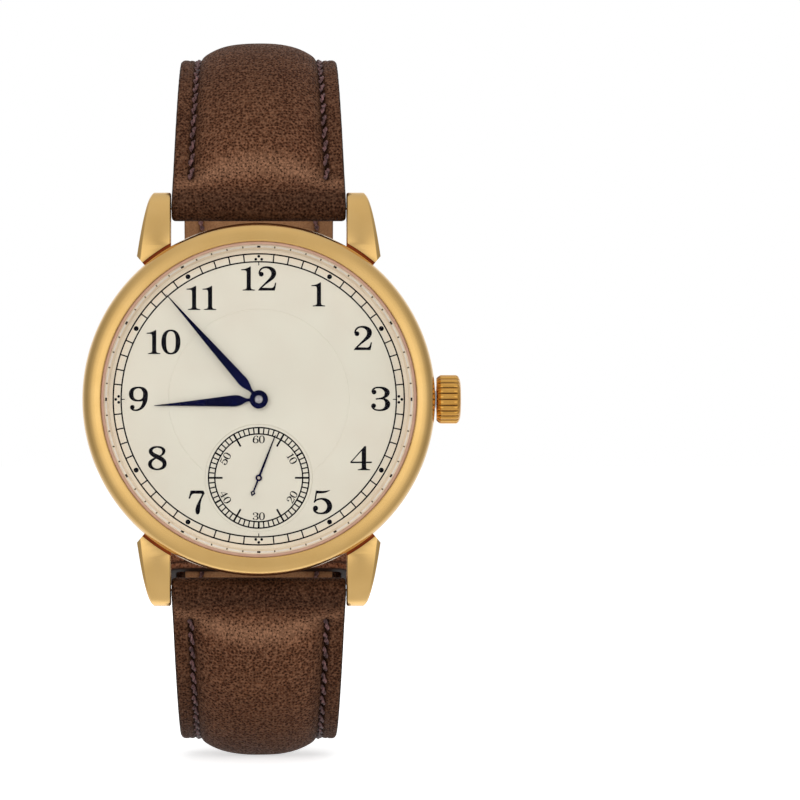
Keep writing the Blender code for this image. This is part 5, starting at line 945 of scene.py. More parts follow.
hourHand = dict(name="hourHand", node="hour_hand", body="hour", angle=266.6, length=11.8, widest=1.27,
                widestAt=2.67, neck=0.40, hub=1.045, bore=0.84, low=6.00, high=6.15, tip=0.10)
minuteHand = dict(name="minuteHand", node="minute_hand", body="centre", angle=318.6, length=15.7, widest=1.10,
                  widestAt=2.76, neck=0.40, hub=1.045, bore=0.45, low=6.42, high=6.57, tip=0.10)
secondsHand = dict(name="secondsHand", node="seconds_hand", body="fourth", angle=21.2, length=5.2, tail=1.83,
                   diamond=0.29, hub=0.375, bore=0.18, low=5.72, high=5.81)


def turnedBy(angle, centreY=0.0):  # a place turned clockwise round a hand's own centre
    turn = math.radians(-angle)

    def place(x, y, z):
        return headPoint(x * math.cos(turn) - y * math.sin(turn),
                         x * math.sin(turn) + y * math.cos(turn) + centreY, z)
    return place


def bladeRings(stations, low, high, place):  # a flat blade with a raised middle line, by (along, width)
    edge = low + (high - low) * 0.45
    rings = []
    for along, width in stations:
        half = width / 2
        rings.append([place(-half, along, low), place(half, along, low), place(half, along, edge),
                      place(half * 0.12, along, high), place(-half * 0.12, along, high),
                      place(-half, along, edge)])
    return lofted(rings)


def hubRing(hand, place):
    low, high, hub, bore = hand["low"], hand["high"], hand["hub"], hand["bore"]
    return turned([(bore, low), (hub, low), (hub, high - 0.05), (hub - 0.02, high - 0.015),
                   (hub - 0.07, high), (bore + 0.03, high), (bore, high - 0.03)], 72, place)


def makeLeafHand(hand):
    place = turnedBy(hand["angle"])
    hub, neck, wide, at, length = (hand[size] for size in ("hub", "neck", "widest", "widestAt", "length"))
    widths = throughPoints([(hub - 0.06, neck * 0.95), (hub + 0.35, neck), (at - 0.55, wide * 0.86),
                            (at, wide), (at + 0.8, wide * 0.95), (length * 0.5, wide * 0.66),
                            (length * 0.78, wide * 0.30), (length - 0.15, hand["tip"]), (length, 0.03)], 5)
    blade = bladeRings(widths, hand["low"], hand["high"], place)
    piece = rawPiece(hand["name"], *joined(blade, hubRing(hand, place)))
    settle(piece, hand["body"], bluedSteel, [hand["node"]], 12)


def makeSecondsHand(hand):
    place = turnedBy(hand["angle"], dialShape["secondsY"])
    long = bladeRings([(hand["hub"] - 0.03, 0.25), (1.6, 0.24), (3.6, 0.17), (hand["length"], 0.10)],
                      hand["low"], hand["high"], place)
    tail = bladeRings([(-hand["hub"] + 0.03, 0.20), (-1.50, 0.18)], hand["low"], hand["high"], place)
    middle, wide = -hand["tail"], hand["diamond"]
    outer = [(0, middle + 0.39), (wide, middle), (0, middle - 0.41), (-wide, middle)]
    inner = [(x * 0.45, middle + (y - middle) * 0.45) for x, y in outer]
    rings = [[place(x, y, z) for x, y, z in ((ox, oy, hand["low"]), (ox, oy, hand["high"] - 0.02),
                                             (ix, iy, hand["high"] - 0.02), (ix, iy, hand["low"]))]
             for (ox, oy), (ix, iy) in zip(outer, inner)]
    diamond = lofted(rings, loop=True)
    piece = rawPiece(hand["name"], *joined(long, tail, diamond, hubRing(hand, place)))
    settle(piece, hand["body"], bluedSteel, [hand["node"]], 12)


def makeCap(name, body, radius, low, high, centreY):  # the polished end of the post that holds a hand
    profile = [(0, high), (radius * 0.45, high - (high - low) * 0.08),
               (radius * 0.8, high - (high - low) * 0.35), (radius, low + (high - low) * 0.3), (radius, low),
               (0, low)]
    piece = rawPiece(name, *turned(profile, 48, shiftedPlace(centreY), ring=False))
    settle(piece, body, pinSteel)


makeCap("minutePin", "centre", 0.43, 6.66, 6.80, 0.0)
makeCap("secondsPin", "fourth", 0.17, 5.80, 5.86, dialShape["secondsY"])
makeLeafHand(hourHand)
makeLeafHand(minuteHand)
makeSecondsHand(secondsHand)
print("hands made")


loopShape = dict(halfHeight=39.0, backY=45.8, barOut=22.0, barY=-1.9, buckleBarZ=-3.3, tipZ=-36.0,
                 liftStart=6.6, liftEnd=-2.5, overBar=2.65, overShort=2.20, lugWidth=19.86, buckleWidth=18.0,
                 taper=32.0)
leatherShape = dict(skin=0.80, lining=0.90, ply=0.02, padding=2.00, tailPadding=0.20, stitchInset=2.05,
                    groove=0.42, grooveWidth=0.38, crease=1.02, creaseDepth=0.08, edgeRound=0.48,
                    wrapGap=0.10, pinch=4.0, tipLength=17.0, wander=0.035)
barRadius = dict(lug=0.80, buckle=0.70)
holeShape = dict(places=(-5, -4, -3, -2, -1, 1), pitch=7.0, radius=0.92, worn=1.15, stretch=0.65)
stitchShape = dict(pitch=1.95, radius=0.165, firstAt=2.45, rise=0.37, slant=0.22, twist=0.14)


def strapLine(side, lastZ):  # the line between the plies, from the spring bar, as (y, z)
    shape = loopShape
    half = shape["halfHeight"]
    reach = math.sqrt(1 - (shape["barOut"] / half) ** 2)
    depth = (shape["backY"] - shape["barY"]) / (1 + reach)
    middle = shape["backY"] - depth
    first, last = math.asin(shape["barOut"] / half), math.pi - math.asin(side * lastZ / half)
    points = []
    for i in range(1401):
        angle = first + (last - first) * i / 1400
        y, z = middle - depth * math.cos(angle), half * math.sin(angle)
        normal = Vector((-math.cos(angle) / depth, math.sin(angle) / half)).normalized()
        lift = 0.0
        if side > 0 and angle > math.pi / 2:
            climb = smoothStep((shape["liftStart"] - z) / (shape["liftStart"] - shape["liftEnd"]))
            fall = smoothStep((shape["liftEnd"] - 1 - z) / 8)
            lift = shape["overBar"] * climb - (shape["overBar"] - shape["overShort"]) * fall
        points.append(Vector((y + normal.x * lift, side * (z + normal.y * lift))))
    lengths = [0.0]
    for a, b in zip(points, points[1:]):
        lengths.append(lengths[-1] + (b - a).length)
    tree = kdtree.KDTree(len(points))
    for i, point in enumerate(points):
        tree.insert((point.x, point.y, 0), i)
    tree.balance()
    return dict(side=side, points=points, lengths=lengths, length=lengths[-1], tree=tree)


def frameAt(line, distance):  # point, direction along the strap and direction out of it
    lengths, points = line["lengths"], line["points"]
    low, high = 0, len(lengths) - 1
    while high - low > 1:
        middle = (low + high) // 2
        if lengths[middle] <= distance:
            low = middle
        else:
            high = middle
    along = (points[high] - points[low]).normalized()
    point = points[low] + along * (distance - lengths[low])
    normal = Vector((-along.y, along.x)) if line["side"] > 0 else Vector((along.y, -along.x))
    return point, along, normal


def distanceAt(line, z):  # how far along the strap this height is, on the buckle side
    third = len(line["points"]) // 3
    best = min(range(third, len(line["points"])), key=lambda i: abs(line["points"][i].y - z))
    return line["lengths"][best]


def flatPlace(line, co):  # where a point of the strap lies: across, along, and above the line, in mm
    y, z = co.y / mm, co.z / mm
    index = line["tree"].find((y, z, 0))[1]
    point, along, normal = frameAt(line, line["lengths"][index])
    offset = Vector((y, z)) - point
    return co.x / mm, line["lengths"][index] + offset.dot(along), offset.dot(normal)


class StrapPiece:
    def __init__(self, line, padded, thinned, barEnd, tip):
        self.line, self.padded, self.thinned, self.barEnd, self.tip = line, padded, thinned, barEnd, tip
        self.length = line["length"]
        self.rim = [(self.halfWidth(0), -k * 0.1) for k in range(40, 0, -1)]
        count = 1500
        for i in range(count + 1):
            distance = self.length * (1 - (1 - i / count) ** 2) if tip else self.length * i / count
            self.rim.append((self.halfWidth(distance), distance))
        if tip:
            self.rim.append((0.0, self.length))
        else:
            self.rim += [(self.halfWidth(self.length), self.length + k * 0.1) for k in range(1, 40)]
        dense = []
        for (x0, s0), (x1, s1) in zip(self.rim, self.rim[1:]):
            parts = max(1, int(math.hypot(x1 - x0, s1 - s0) / 0.08))
            dense += [(x0 + (x1 - x0) * k / parts, s0 + (s1 - s0) * k / parts) for k in range(parts)]
        self.outline = kdtree.KDTree(2 * len(dense))
        for i, (x, s) in enumerate(dense):
            self.outline.insert((x, s, 0), 2 * i)
            self.outline.insert((-x, s, 0), 2 * i + 1)
        self.outline.balance()

    def halfWidth(self, distance):  # half the strap's width, this far from the lug bar
        shape = loopShape
        share = max(1 - max(distance, 0) / shape["taper"], 0.0) ** 1.3
        half = (shape["buckleWidth"] + (shape["lugWidth"] - shape["buckleWidth"]) * share) / 2
        if self.tip:
            left = (self.length - distance) / leatherShape["tipLength"]
            if left < 1:
                half *= max(1 - (1 - max(left, 0.0)) ** 2, 0.0) ** 0.9
        return half

    def spread(self, distance):  # how far each ply stands off the middle line where they part for a bar
        def nearBar(gap, bar):
            radius = bar + leatherShape["wrapGap"]
            slope = math.asin(radius / leatherShape["pinch"])
            if gap < radius * math.sin(slope):
                return math.sqrt(max(radius ** 2 - max(gap, 0.0) ** 2, 0.0))
            return max((leatherShape["pinch"] - gap) * math.tan(slope), 0.0)
        gap = nearBar(distance, barRadius["lug"])
        if self.barEnd:
            gap = max(gap, nearBar(self.length - distance, barRadius["buckle"]))
        return gap

    def rise(self, distance, x):  # how far the padding lifts the outer leather
        shape = leatherShape
        start = smoothStep((distance - 2.4) / 3.6)
        thin = smoothStep((distance - self.padded) / (self.thinned - self.padded))
        height = start * (shape["padding"] + (shape["tailPadding"] - shape["padding"]) * thin)
        if self.barEnd:
            height *= smoothStep((self.length - distance - 2.6) / 3.0)
        if self.tip:
            height *= smoothStep((self.length - distance - 3.4) / 8.5)
        half = self.halfWidth(distance)
        inner = max(half - shape["stitchInset"] - 0.1, 0.5 * half, 0.01)
        share = min(abs(x) / inner, 1.0)
        return height * (1 - share ** 2.7) ** 0.92

    def edgeGap(self, x, distance):  # distance in from the nearest edge of the strap
        return self.outline.find((x, distance, 0))[2]

    def stitched(self, distance):  # 1 where the stitches run, 0 near the bars
        mask = smoothStep((distance - stitchShape["firstAt"]) / 0.8)
        if self.barEnd:
            mask *= smoothStep((self.length - distance - 3.6) / 0.8)
        return mask

    def topHeight(self, x, distance, gap=None):  # the leather's face above the middle line
        shape = leatherShape
        gap = self.edgeGap(x, distance) if gap is None else gap
        height = self.spread(distance) + shape["skin"] + 0.025 + self.rise(distance, x)
        mask = self.stitched(distance)
        height -= shape["groove"] * mask * hill(gap - shape["stitchInset"], shape["grooveWidth"])
        height -= shape["creaseDepth"] * hill(gap - shape["crease"], 0.11)
        wave = noise.noise(Vector((x * 0.35, distance * 0.35, self.line["side"] * 9.0)))
        height += shape["wander"] * mask * wave
        return height - edgeDrop(gap, shape["edgeRound"])


longLine, shortLine = strapLine(1, loopShape["tipZ"]), strapLine(-1, loopShape["buckleBarZ"])
longPiece = StrapPiece(longLine, 30.0, 58.0, False, True)
shortPiece = StrapPiece(shortLine, 26.0, 39.0, True, False)

edgeSteps = [0.0, 0.03, 0.09, 0.18, 0.28, 0.40, 0.54, 0.64, 0.70, 0.75, 0.80, 0.86, 0.98, 1.2, 1.42, 1.58,
             1.70, 1.80, 1.90, 1.98, 2.05, 2.12, 2.20, 2.30, 2.42, 2.56, 2.75, 3.0, 3.3]
innerShares = [1.0, 0.93, 0.85, 0.76, 0.66, 0.55, 0.44, 0.33, 0.22, 0.11, 0.0]


def acrossPlaces(half, steps=edgeSteps):  # from edge to edge, closer together at the stitches
    scale = min(1.0, half / 6.6)
    right = [half - step * scale for step in steps]
    inner = right[-1]
    right += [inner * share for share in innerShares[1:]]
    left = [-x for x in right[:-1]]
    return left + right[::-1]


def leatherStations(piece):  # places of the cross-sections along a strap piece
    lead = 0.26
    end = piece.length - (lead if piece.barEnd else 0.03)
    places = [lead, 0.5, 0.8]
    while places[-1] < end - 0.36:
        left = piece.length - places[-1]
        places.append(places[-1] + (0.16 if piece.tip and left < 12 else 0.34))
    if piece.tip:
        places = [s for s in places if s < end - 0.4] + [end - 0.34, end - 0.2, end - 0.1, end - 0.04]
    return places + [end]


def toWorld(x, point, normal, height, along=Vector((0, 0)), shift=0.0):  # across, above the line and along it
    return Vector((x, point.x + along.x * shift + normal.x * height,
                   point.y + along.y * shift + normal.y * height)) * mm


def topRing(piece, distance, point, normal, low=None, high=None):
    half = piece.halfWidth(distance)
    ring = []
    across = acrossPlaces(half)
    bottom = piece.spread(distance) + leatherShape["ply"] / 2 if low is None else low
    for x in across:
        if high is None:
            height = piece.topHeight(x, distance)
        else:
            height = high - edgeDrop(max(half - abs(x), 0.0), leatherShape["edgeRound"])
        ring.append(toWorld(x, point, normal, max(height, bottom + 0.02)))
    for share, lift in ((1.0, 0.10), (0.995, 0.03), (0.985, 0.0), (0.8, 0.0), (0.5, 0.0), (0.0, 0.0),
                        (-0.5, 0.0), (-0.8, 0.0), (-0.985, 0.0), (-0.995, 0.03), (-1.0, 0.10)):
        ring.append(toWorld(half * share, point, normal, bottom + lift))
    return ring


def foldRings(piece, distance, bar, way):  # the outer leather folded round a bar, top to underside
    point, along, normal = frameAt(piece.line, distance)
    low = bar + leatherShape["wrapGap"]
    rings = []
    for step in range(1, 17):
        angle = math.radians(180 * step / 16)
        out = normal * math.cos(angle) + along * (way * math.sin(angle))
        rings.append(topRing(piece, distance, point, out, low, low + leatherShape["skin"]))
    return rings


def makeTop(name, piece):
    rings = foldRings(piece, 0.0, barRadius["lug"], -1)[::-1]
    for distance in leatherStations(piece):
        point, _, normal = frameAt(piece.line, distance)
        rings.append(topRing(piece, distance, point, normal))
    if piece.barEnd:
        rings += foldRings(piece, piece.length, barRadius["buckle"], 1)
    return rawPiece(name, *lofted(rings))


def makeUnder(name, piece):
    shape = leatherShape
    rings = []
    places = [0.12] + leatherStations(piece)[::2]
    end = piece.length - (0.12 if piece.barEnd else 0.03)
    places = [s for s in places if s < end - 0.12] + [end]
    for distance in places:
        point, _, normal = frameAt(piece.line, distance)
        half = piece.halfWidth(distance)
        high = -piece.spread(distance) - shape["ply"] / 2
        across = acrossPlaces(half, edgeSteps[:6] + [0.9, 1.5, 1.75, 1.9, 2.05, 2.2, 2.35, 2.6, 3.0])
        ring = [toWorld(x, point, normal, high - drop) for x, drop in
                ((-half, 0.08), (-half * 0.992, 0.0), (0, 0.0), (half * 0.992, 0.0), (half, 0.08))]
        for x in reversed(across):
            gap = piece.edgeGap(x, distance)
            low = high - shape["lining"] + edgeDrop(gap, 0.25)
            low += 0.16 * piece.stitched(distance) * hill(gap - shape["stitchInset"], 0.22)
            ring.append(toWorld(x, point, normal, min(low, high - 0.1)))
        rings.append(ring)
    return rawPiece(name, *lofted(rings))


def holeTool(piece, distance, outline, top):  # a cutter square to the strap, flared at the top of the leather
    point, along, normal = frameAt(piece.line, distance)
    side = piece.line["side"]
    rings = []
    for height, grow in ((-4.0, 0.0), (top - 0.16, 0.0), (top - 0.05, 0.05), (top + 0.03, 0.16),
                         (top + 2.0, 0.16)):
        ring = []
        for x, s in outline:
            size = math.hypot(x, s)
            x, s = x * (1 + grow / size), s * (1 + grow / size)
            ring.append(toWorld(side * x, point, normal, height, along, s))
        rings.append(ring)
    return rawPiece("holeTool", *lofted(rings))


def markLeather(piece, shape, wornSpots=(), holeCount=0):  # painted shade in the stitch grooves, beside them, in the holes, at the fold over the bar and at the top of the loop, a painted highlight where the padding starts, and where the leather is worn
    mesh = piece.data
    wear, paintedShade, paintedSheen = pointShares(piece, "wear", "paintedShade", "paintedSheen")
    for i, vertex in enumerate(mesh.vertices):
        x, s, n = flatPlace(shape.line, vertex.co)
        gap, mask = shape.edgeGap(x, s), shape.stitched(s)
        # painted shade in the stitch groove, along the rounded edge, in the hollow beside the groove and at
        # the fold over the lug bar
        line = hill(gap - leatherShape["stitchInset"], 0.50) * mask
        rim = hill(gap, 0.22) * 0.8
        hollowShade = 0.35 * hill(gap - leatherShape["stitchInset"] - 0.6, 0.7) * mask
        roll = 0.6 * (1 - smoothStep((s - 0.2) / 2.6))
        paintedShade[i].value = min(1.0, max(line, rim, hollowShade, roll))
        dull = 0.30 * smoothStep((2.0 - gap) / 0.6) * mask  # painted shade on the flat edge outside the stitches
        far = 0.22 * smoothStep((vertex.co.z / mm - 26) / 12)  # painted shade: the top of the loop is made the darkest
        paintedShade[i].value = max(paintedShade[i].value, dull, far)
        worn = 0.04 + 0.32 * smoothStep((s - 46) / 16) * (1 if shape.tip else 0)
        # painted highlight in a shallow arch where the padding starts
        highlightBand = hill(s - 4.3 + 2.2 * (x / 9) ** 2, 1.1) * (1 - 0.45 * min(abs(x) / 10, 1) ** 2)
        paintedSheen[i].value = 0.66 * highlightBand * (1 - paintedShade[i].value) if s < 12 else 0.0
        for at, reach, strength in wornSpots:
            worn = max(worn, strength * math.exp(-(math.hypot(x, s - at) / reach) ** 4))
        for at, reach, strength in wornSpots[:holeCount]:
            # painted shade on the walls inside each hole
            deep = n < shape.topHeight(x, s, gap) - 0.22
            if deep and math.hypot(x, s - at) < 1.4 + (0.8 if at == wornSpots[holeCount - 1][0] else 0):
                paintedShade[i].value = 1.0
        if not shape.tip and n > 0 and abs(x) < 1.9 and s > shape.length - 31:  # painted shade on the short strap's face under the long strap's holes
            paintedShade[i].value = 0.85
        wear[i].value = worn * (1 - paintedShade[i].value)
    for polygon in mesh.polygons:
        x, s, n = flatPlace(shape.line, polygon.center)
        upright = abs(polygon.normal.x) > 0.75 if not shape.tip or s < shape.length - 11.5 else None
        if upright is None:
            upright = shape.edgeGap(x, s) < 0.03
        polygon.material_index = 1 if upright and shape.edgeGap(x, s) < 0.2 else 0


def stitchRuns(piece):  # lines of stitches as flat (across, along) points, pitch apart
    inset = leatherShape["stitchInset"]
    start = stitchShape["firstAt"] + 0.4
    runs = []
    if piece.tip:
        line = []
        rim = [p for p in piece.rim if p[1] >= start - 3]
        for (x0, s0), (x1, s1) in zip(rim, rim[1:]):
            step = Vector((x1 - x0, s1 - s0))
            if step.length < 1e-6:
                continue
            inward = Vector((-step.y, step.x)).normalized()
            x, s = x0 + inward.x * inset, s0 + inward.y * inset
            if x > 0.02 and s > start and piece.edgeGap(x, s) > inset - 0.03:
                line.append((x, s))
        peak = line[-1][1] + 0.15
        runs.append(line + [(0.0, peak)] + [(-x, s) for x, s in reversed(line)])
    else:
        end = piece.length - 4.4
        for sign in (1, -1):
            places = [start + (end - start) * k / 60 for k in range(61)]
            runs.append([(sign * (piece.halfWidth(s) - inset), s) for s in places])
    spaced = []
    for run in runs:
        length = sum(math.dist(a, b) for a, b in zip(run, run[1:]))
        count = max(2, round(length / stitchShape["pitch"]))
        count += count % 2 if piece.tip else 0
        wanted = [length * k / count for k in range(count + 1)]
        places, done, index = [], 0.0, 0
        for a, b in zip(run, run[1:]):
            span = math.dist(a, b)
            while index < len(wanted) and wanted[index] <= done + span + 1e-9:
                share = (wanted[index] - done) / span if span > 1e-9 else 0
                places.append((a[0] + (b[0] - a[0]) * share, a[1] + (b[1] - a[1]) * share))
                index += 1
            done += span
        spaced.append(places)
    return spaced


def makeStitches(name, piece, runs, under):
    shape, strands = stitchShape, []
    for run in runs:
        for number, (a, b) in enumerate(zip(run, run[1:])):
            step = Vector((b[0] - a[0], b[1] - a[1]))
            side = Vector((-step.y, step.x)).normalized() * shape["slant"]
            for strand in (0, 1):
                rings = []
                for k in range(9):
                    share = k / 8
                    along = 0.07 + 0.86 * share
                    x = a[0] + step.x * along + side.x * (1 - 2 * share)
                    s = a[1] + step.y * along + side.y * (1 - 2 * share)
                    point, way, normal = frameAt(piece.line, s)
                    arch = math.sin(math.pi * share) ** 0.55
                    wobble = 0.02 * noise.noise(Vector((number * 1.7, strand * 3.1, share)))
                    if under:
                        height = -piece.spread(s) - leatherShape["lining"] + 0.18 - (0.14 + wobble) * arch
                    else:
                        height = piece.topHeight(x, s) - 0.12 + (shape["rise"] + wobble) * arch
                    twist = 2 * math.pi * (1.1 * share) + strand * math.pi
                    lift = shape["twist"] * math.cos(twist) * arch
                    shift = shape["twist"] * math.sin(twist)
                    unit = side.normalized()
                    radius = shape["radius"] * (0.75 + 0.25 * arch)
                    rings.append([toWorld(x + unit.x * sideways, point, normal, up, way, unit.y * sideways)
                                  for sideways, up in circlePoints(radius, 7, (shift, height + lift))])
                strands.append(lofted(rings))
    thread = rawPiece(name, *joined(*strands))
    settle(thread, "case", threadWax, sharp=60)


def makeStrap():
    inUse = distanceAt(longLine, loopShape["buckleBarZ"] + 6.1)
    holes = [inUse + holeShape["pitch"] * i for i in holeShape["places"]]
    longTop = makeTop("strapLongTop", longPiece)
    longUnder = makeUnder("strapLongLining", longPiece)
    shortTop = makeTop("strapShortTop", shortPiece)
    shortUnder = makeUnder("strapShortLining", shortPiece)
    print("strap plies lofted")
    worn, stretch = holeShape["worn"], holeShape["stretch"]
    oval = circlePoints(worn, 16, (0, stretch), 0, 180) + circlePoints(worn, 16, (0, -stretch), 180, 180)
    cuts = [(distance, circlePoints(holeShape["radius"], 28)) for distance in holes] + [(inUse, oval)]
    for target in (longTop, longUnder):
        for distance, outline in cuts:
            carve(target, holeTool(longPiece, distance, outline, longPiece.topHeight(0, distance)))
    slot = softCorners([(-1.6, -5.0), (-1.6, 4.0), (1.6, 4.0), (1.6, -5.0)], 0.5, 3)
    for target in (shortTop, shortUnder):
        carve(target, holeTool(shortPiece, shortPiece.length, slot, 3.0))
    longSpots = [(s, 1.45, 1.0) for s in holes + [inUse]]
    keeperAt = distanceAt(longLine, -13.5)
    longSpots += [(keeperAt - 6, 6.0, 0.65), (longPiece.length - 3.0, 5.0, 0.7)]
    markLeather(longTop, longPiece, longSpots, len(holes) + 1)
    for target, piece in ((shortTop, shortPiece), (longUnder, longPiece), (shortUnder, shortPiece)):
        markLeather(target, piece)
    outer, lining = [strapLeather, edgePaint], [liningLeather, edgePaint]
    settle(longTop, "case", outer, ["strap_long_outer", "strap_long_padding"], 50)
    settle(shortTop, "case", outer, ["strap_short_outer", "strap_short_padding"], 50)
    settle(longUnder, "case", lining, ["strap_long_lining"], 50)
    settle(shortUnder, "case", lining, ["strap_short_lining"], 50)
    for face, under in (("Top", False), ("Lining", True)):
        makeStitches("stitchLong" + face, longPiece, stitchRuns(longPiece), under)
        makeStitches("stitchShort" + face, shortPiece, stitchRuns(shortPiece), under)


makeStrap()
print("strap made")


fixedKeeper = dict(name="fixedKeeper", node="fixed_keeper", body="case", z=-13.5, width=5.2, inside=19.0,
                   wall=1.10)
freeKeeper = dict(name="freeKeeper", node="free_keeper", body="keeper", z=-19.05, width=4.9, inside=19.9,
                  wall=1.10)
keeperShape = dict(low=-1.25, high=3.55, outerCorner=1.7, innerCorner=0.7, crease=0.9, creaseDepth=0.13,
                   bow=0.22, edgeRound=0.32)


def boxLoop(x, bottom, top, radius, bow):  # a closed loop with soft corners and slightly bowed long sides
    points = []
    corners = [((x - radius, top - radius), 0), ((radius - x, top - radius), 90),
               ((radius - x, bottom + radius), 180), ((x - radius, bottom + radius), 270)]
    for i, (centre, start) in enumerate(corners):
        points += circlePoints(radius, 9, centre, start, 90)
        following = corners[(i + 1) % 4]
        end = circlePoints(radius, 2, following[0], following[1], 90)[0]
        begin = points[-1]
        count = 26 if i in (0, 2) else 6
        for k in range(1, count):
            points.append((begin[0] + (end[0] - begin[0]) * k / count,
                           begin[1] + (end[1] - begin[1]) * k / count))
    bowed = []
    for px, py in points:
        lift = bow * (1 - (px / x) ** 2) * (1 if py > (bottom + top) / 2 else 0.4)
        bowed.append((px, py + lift if py > (bottom + top) / 2 else py - lift))
    return bowed


def makeKeeper(keeper):
    shape = keeperShape
    distance = distanceAt(shortLine, keeper["z"])
    point, along, normal = frameAt(shortLine, distance)
    half, wall, wide = keeper["inside"] / 2, keeper["wall"], keeper["width"] / 2
    outer = boxLoop(half + wall, shape["low"] - wall, shape["high"] + wall, shape["outerCorner"],
                    shape["bow"])
    inner = boxLoop(half, shape["low"], shape["high"], shape["innerCorner"], shape["bow"])
    crease = wide - shape["crease"]
    edge = quarterRound(shape["edgeRound"], 4)
    profile = [(w - wide, -drop) for w, drop in edge]
    steps = (-0.3, -0.16, -0.08, 0.0, 0.08, 0.16, 0.3)  # closer together over each crease
    across = [-crease + step for step in steps] + [-crease * 0.5, 0.0, crease * 0.5]
    for w in across + [crease + step for step in steps]:
        dip = shape["creaseDepth"] * hill(abs(w) - crease, 0.11)
        profile.append((w, -dip + 0.05 * (1 - (w / wide) ** 2)))
    profile += [(wide - w, -drop) for w, drop in reversed(edge)]
    count, rows = len(outer), []
    for i in range(count):
        a, b = outer[i - 1], outer[(i + 1) % count]
        out = Vector((b[1] - a[1], a[0] - b[0])).normalized()
        row = []
        ripple = 0.03 * noise.noise(Vector((outer[i][0] * 0.3, outer[i][1] * 0.3, keeper["z"])))
        for w, lift in profile:
            px, pn = outer[i][0] + out.x * (lift + ripple), outer[i][1] + out.y * (lift + ripple)
            row.append((px, w, pn))
        for w in (wide, wide - 0.12, 0.0, -wide + 0.12, -wide):
            shave = 0.1 if abs(w) == wide else 0.0
            row.append((inner[i][0] + out.x * shave, w, inner[i][1] + out.y * shave))
        rows.append([toWorld(x, point, normal, n, along, w) for x, w, n in row])
    piece = rawPiece(keeper["name"], *lofted(rows, loop=True))
    mesh = piece.data
    wear, paintedShade = pointShares(piece, "wear", "paintedShade")
    for i, vertex in enumerate(mesh.vertices):
        offset = Vector((vertex.co.y / mm, vertex.co.z / mm)) - point
        w = offset.dot(along)
        # painted shade in the creases and along the edges
        paintedShade[i].value = min(1.0, max(hill(abs(w) - crease, 0.2) * 0.8, hill(wide - abs(w), 0.2)))
        wear[i].value = (0.75 * smoothStep((abs(vertex.co.x / mm) - 4.5) / 4.5) + 0.1) * (1 - paintedShade[i].value)
    for polygon in mesh.polygons:
        offset = Vector((polygon.center.y / mm, polygon.center.z / mm)) - point
        upright = abs(Vector((polygon.normal.y, polygon.normal.z)).dot(along)) > 0.6
        polygon.material_index = 1 if upright and wide - abs(offset.dot(along)) < 0.12 else 0
    settle(piece, keeper["body"], [keeperLeather, edgePaint], [keeper["node"]], 50)


makeKeeper(fixedKeeper)
makeKeeper(freeKeeper)
print("keepers made")


buckleShape = dict(tilt=11.0, halfWidth=10.6, side=1.30, halfThick=0.60, end=-0.75, opening=9.3, corner=1.3,
                   cornerY=12.2, apexY=14.8, edge=0.36, notch=1.43, notchTop=11.4, notchFloor=-0.15,
                   pinHole=0.42)
tongueShape = dict(halfWidth=1.0, halfThick=0.58, eye=1.40, bore=0.75)


def bucklePlace(x, y, z):  # from the buckle's own frame, at its bar, to the world
    tilt = math.radians(90 + buckleShape["tilt"])
    bar = frameAt(shortLine, shortLine["length"])[0]
    turn = Matrix.Rotation(math.radians(180), 3, "Z") @ Matrix.Rotation(tilt, 3, "X")
    moved = turn @ Vector((x, y, z))
    return (moved + Vector((0, bar.x, bar.y))) * mm


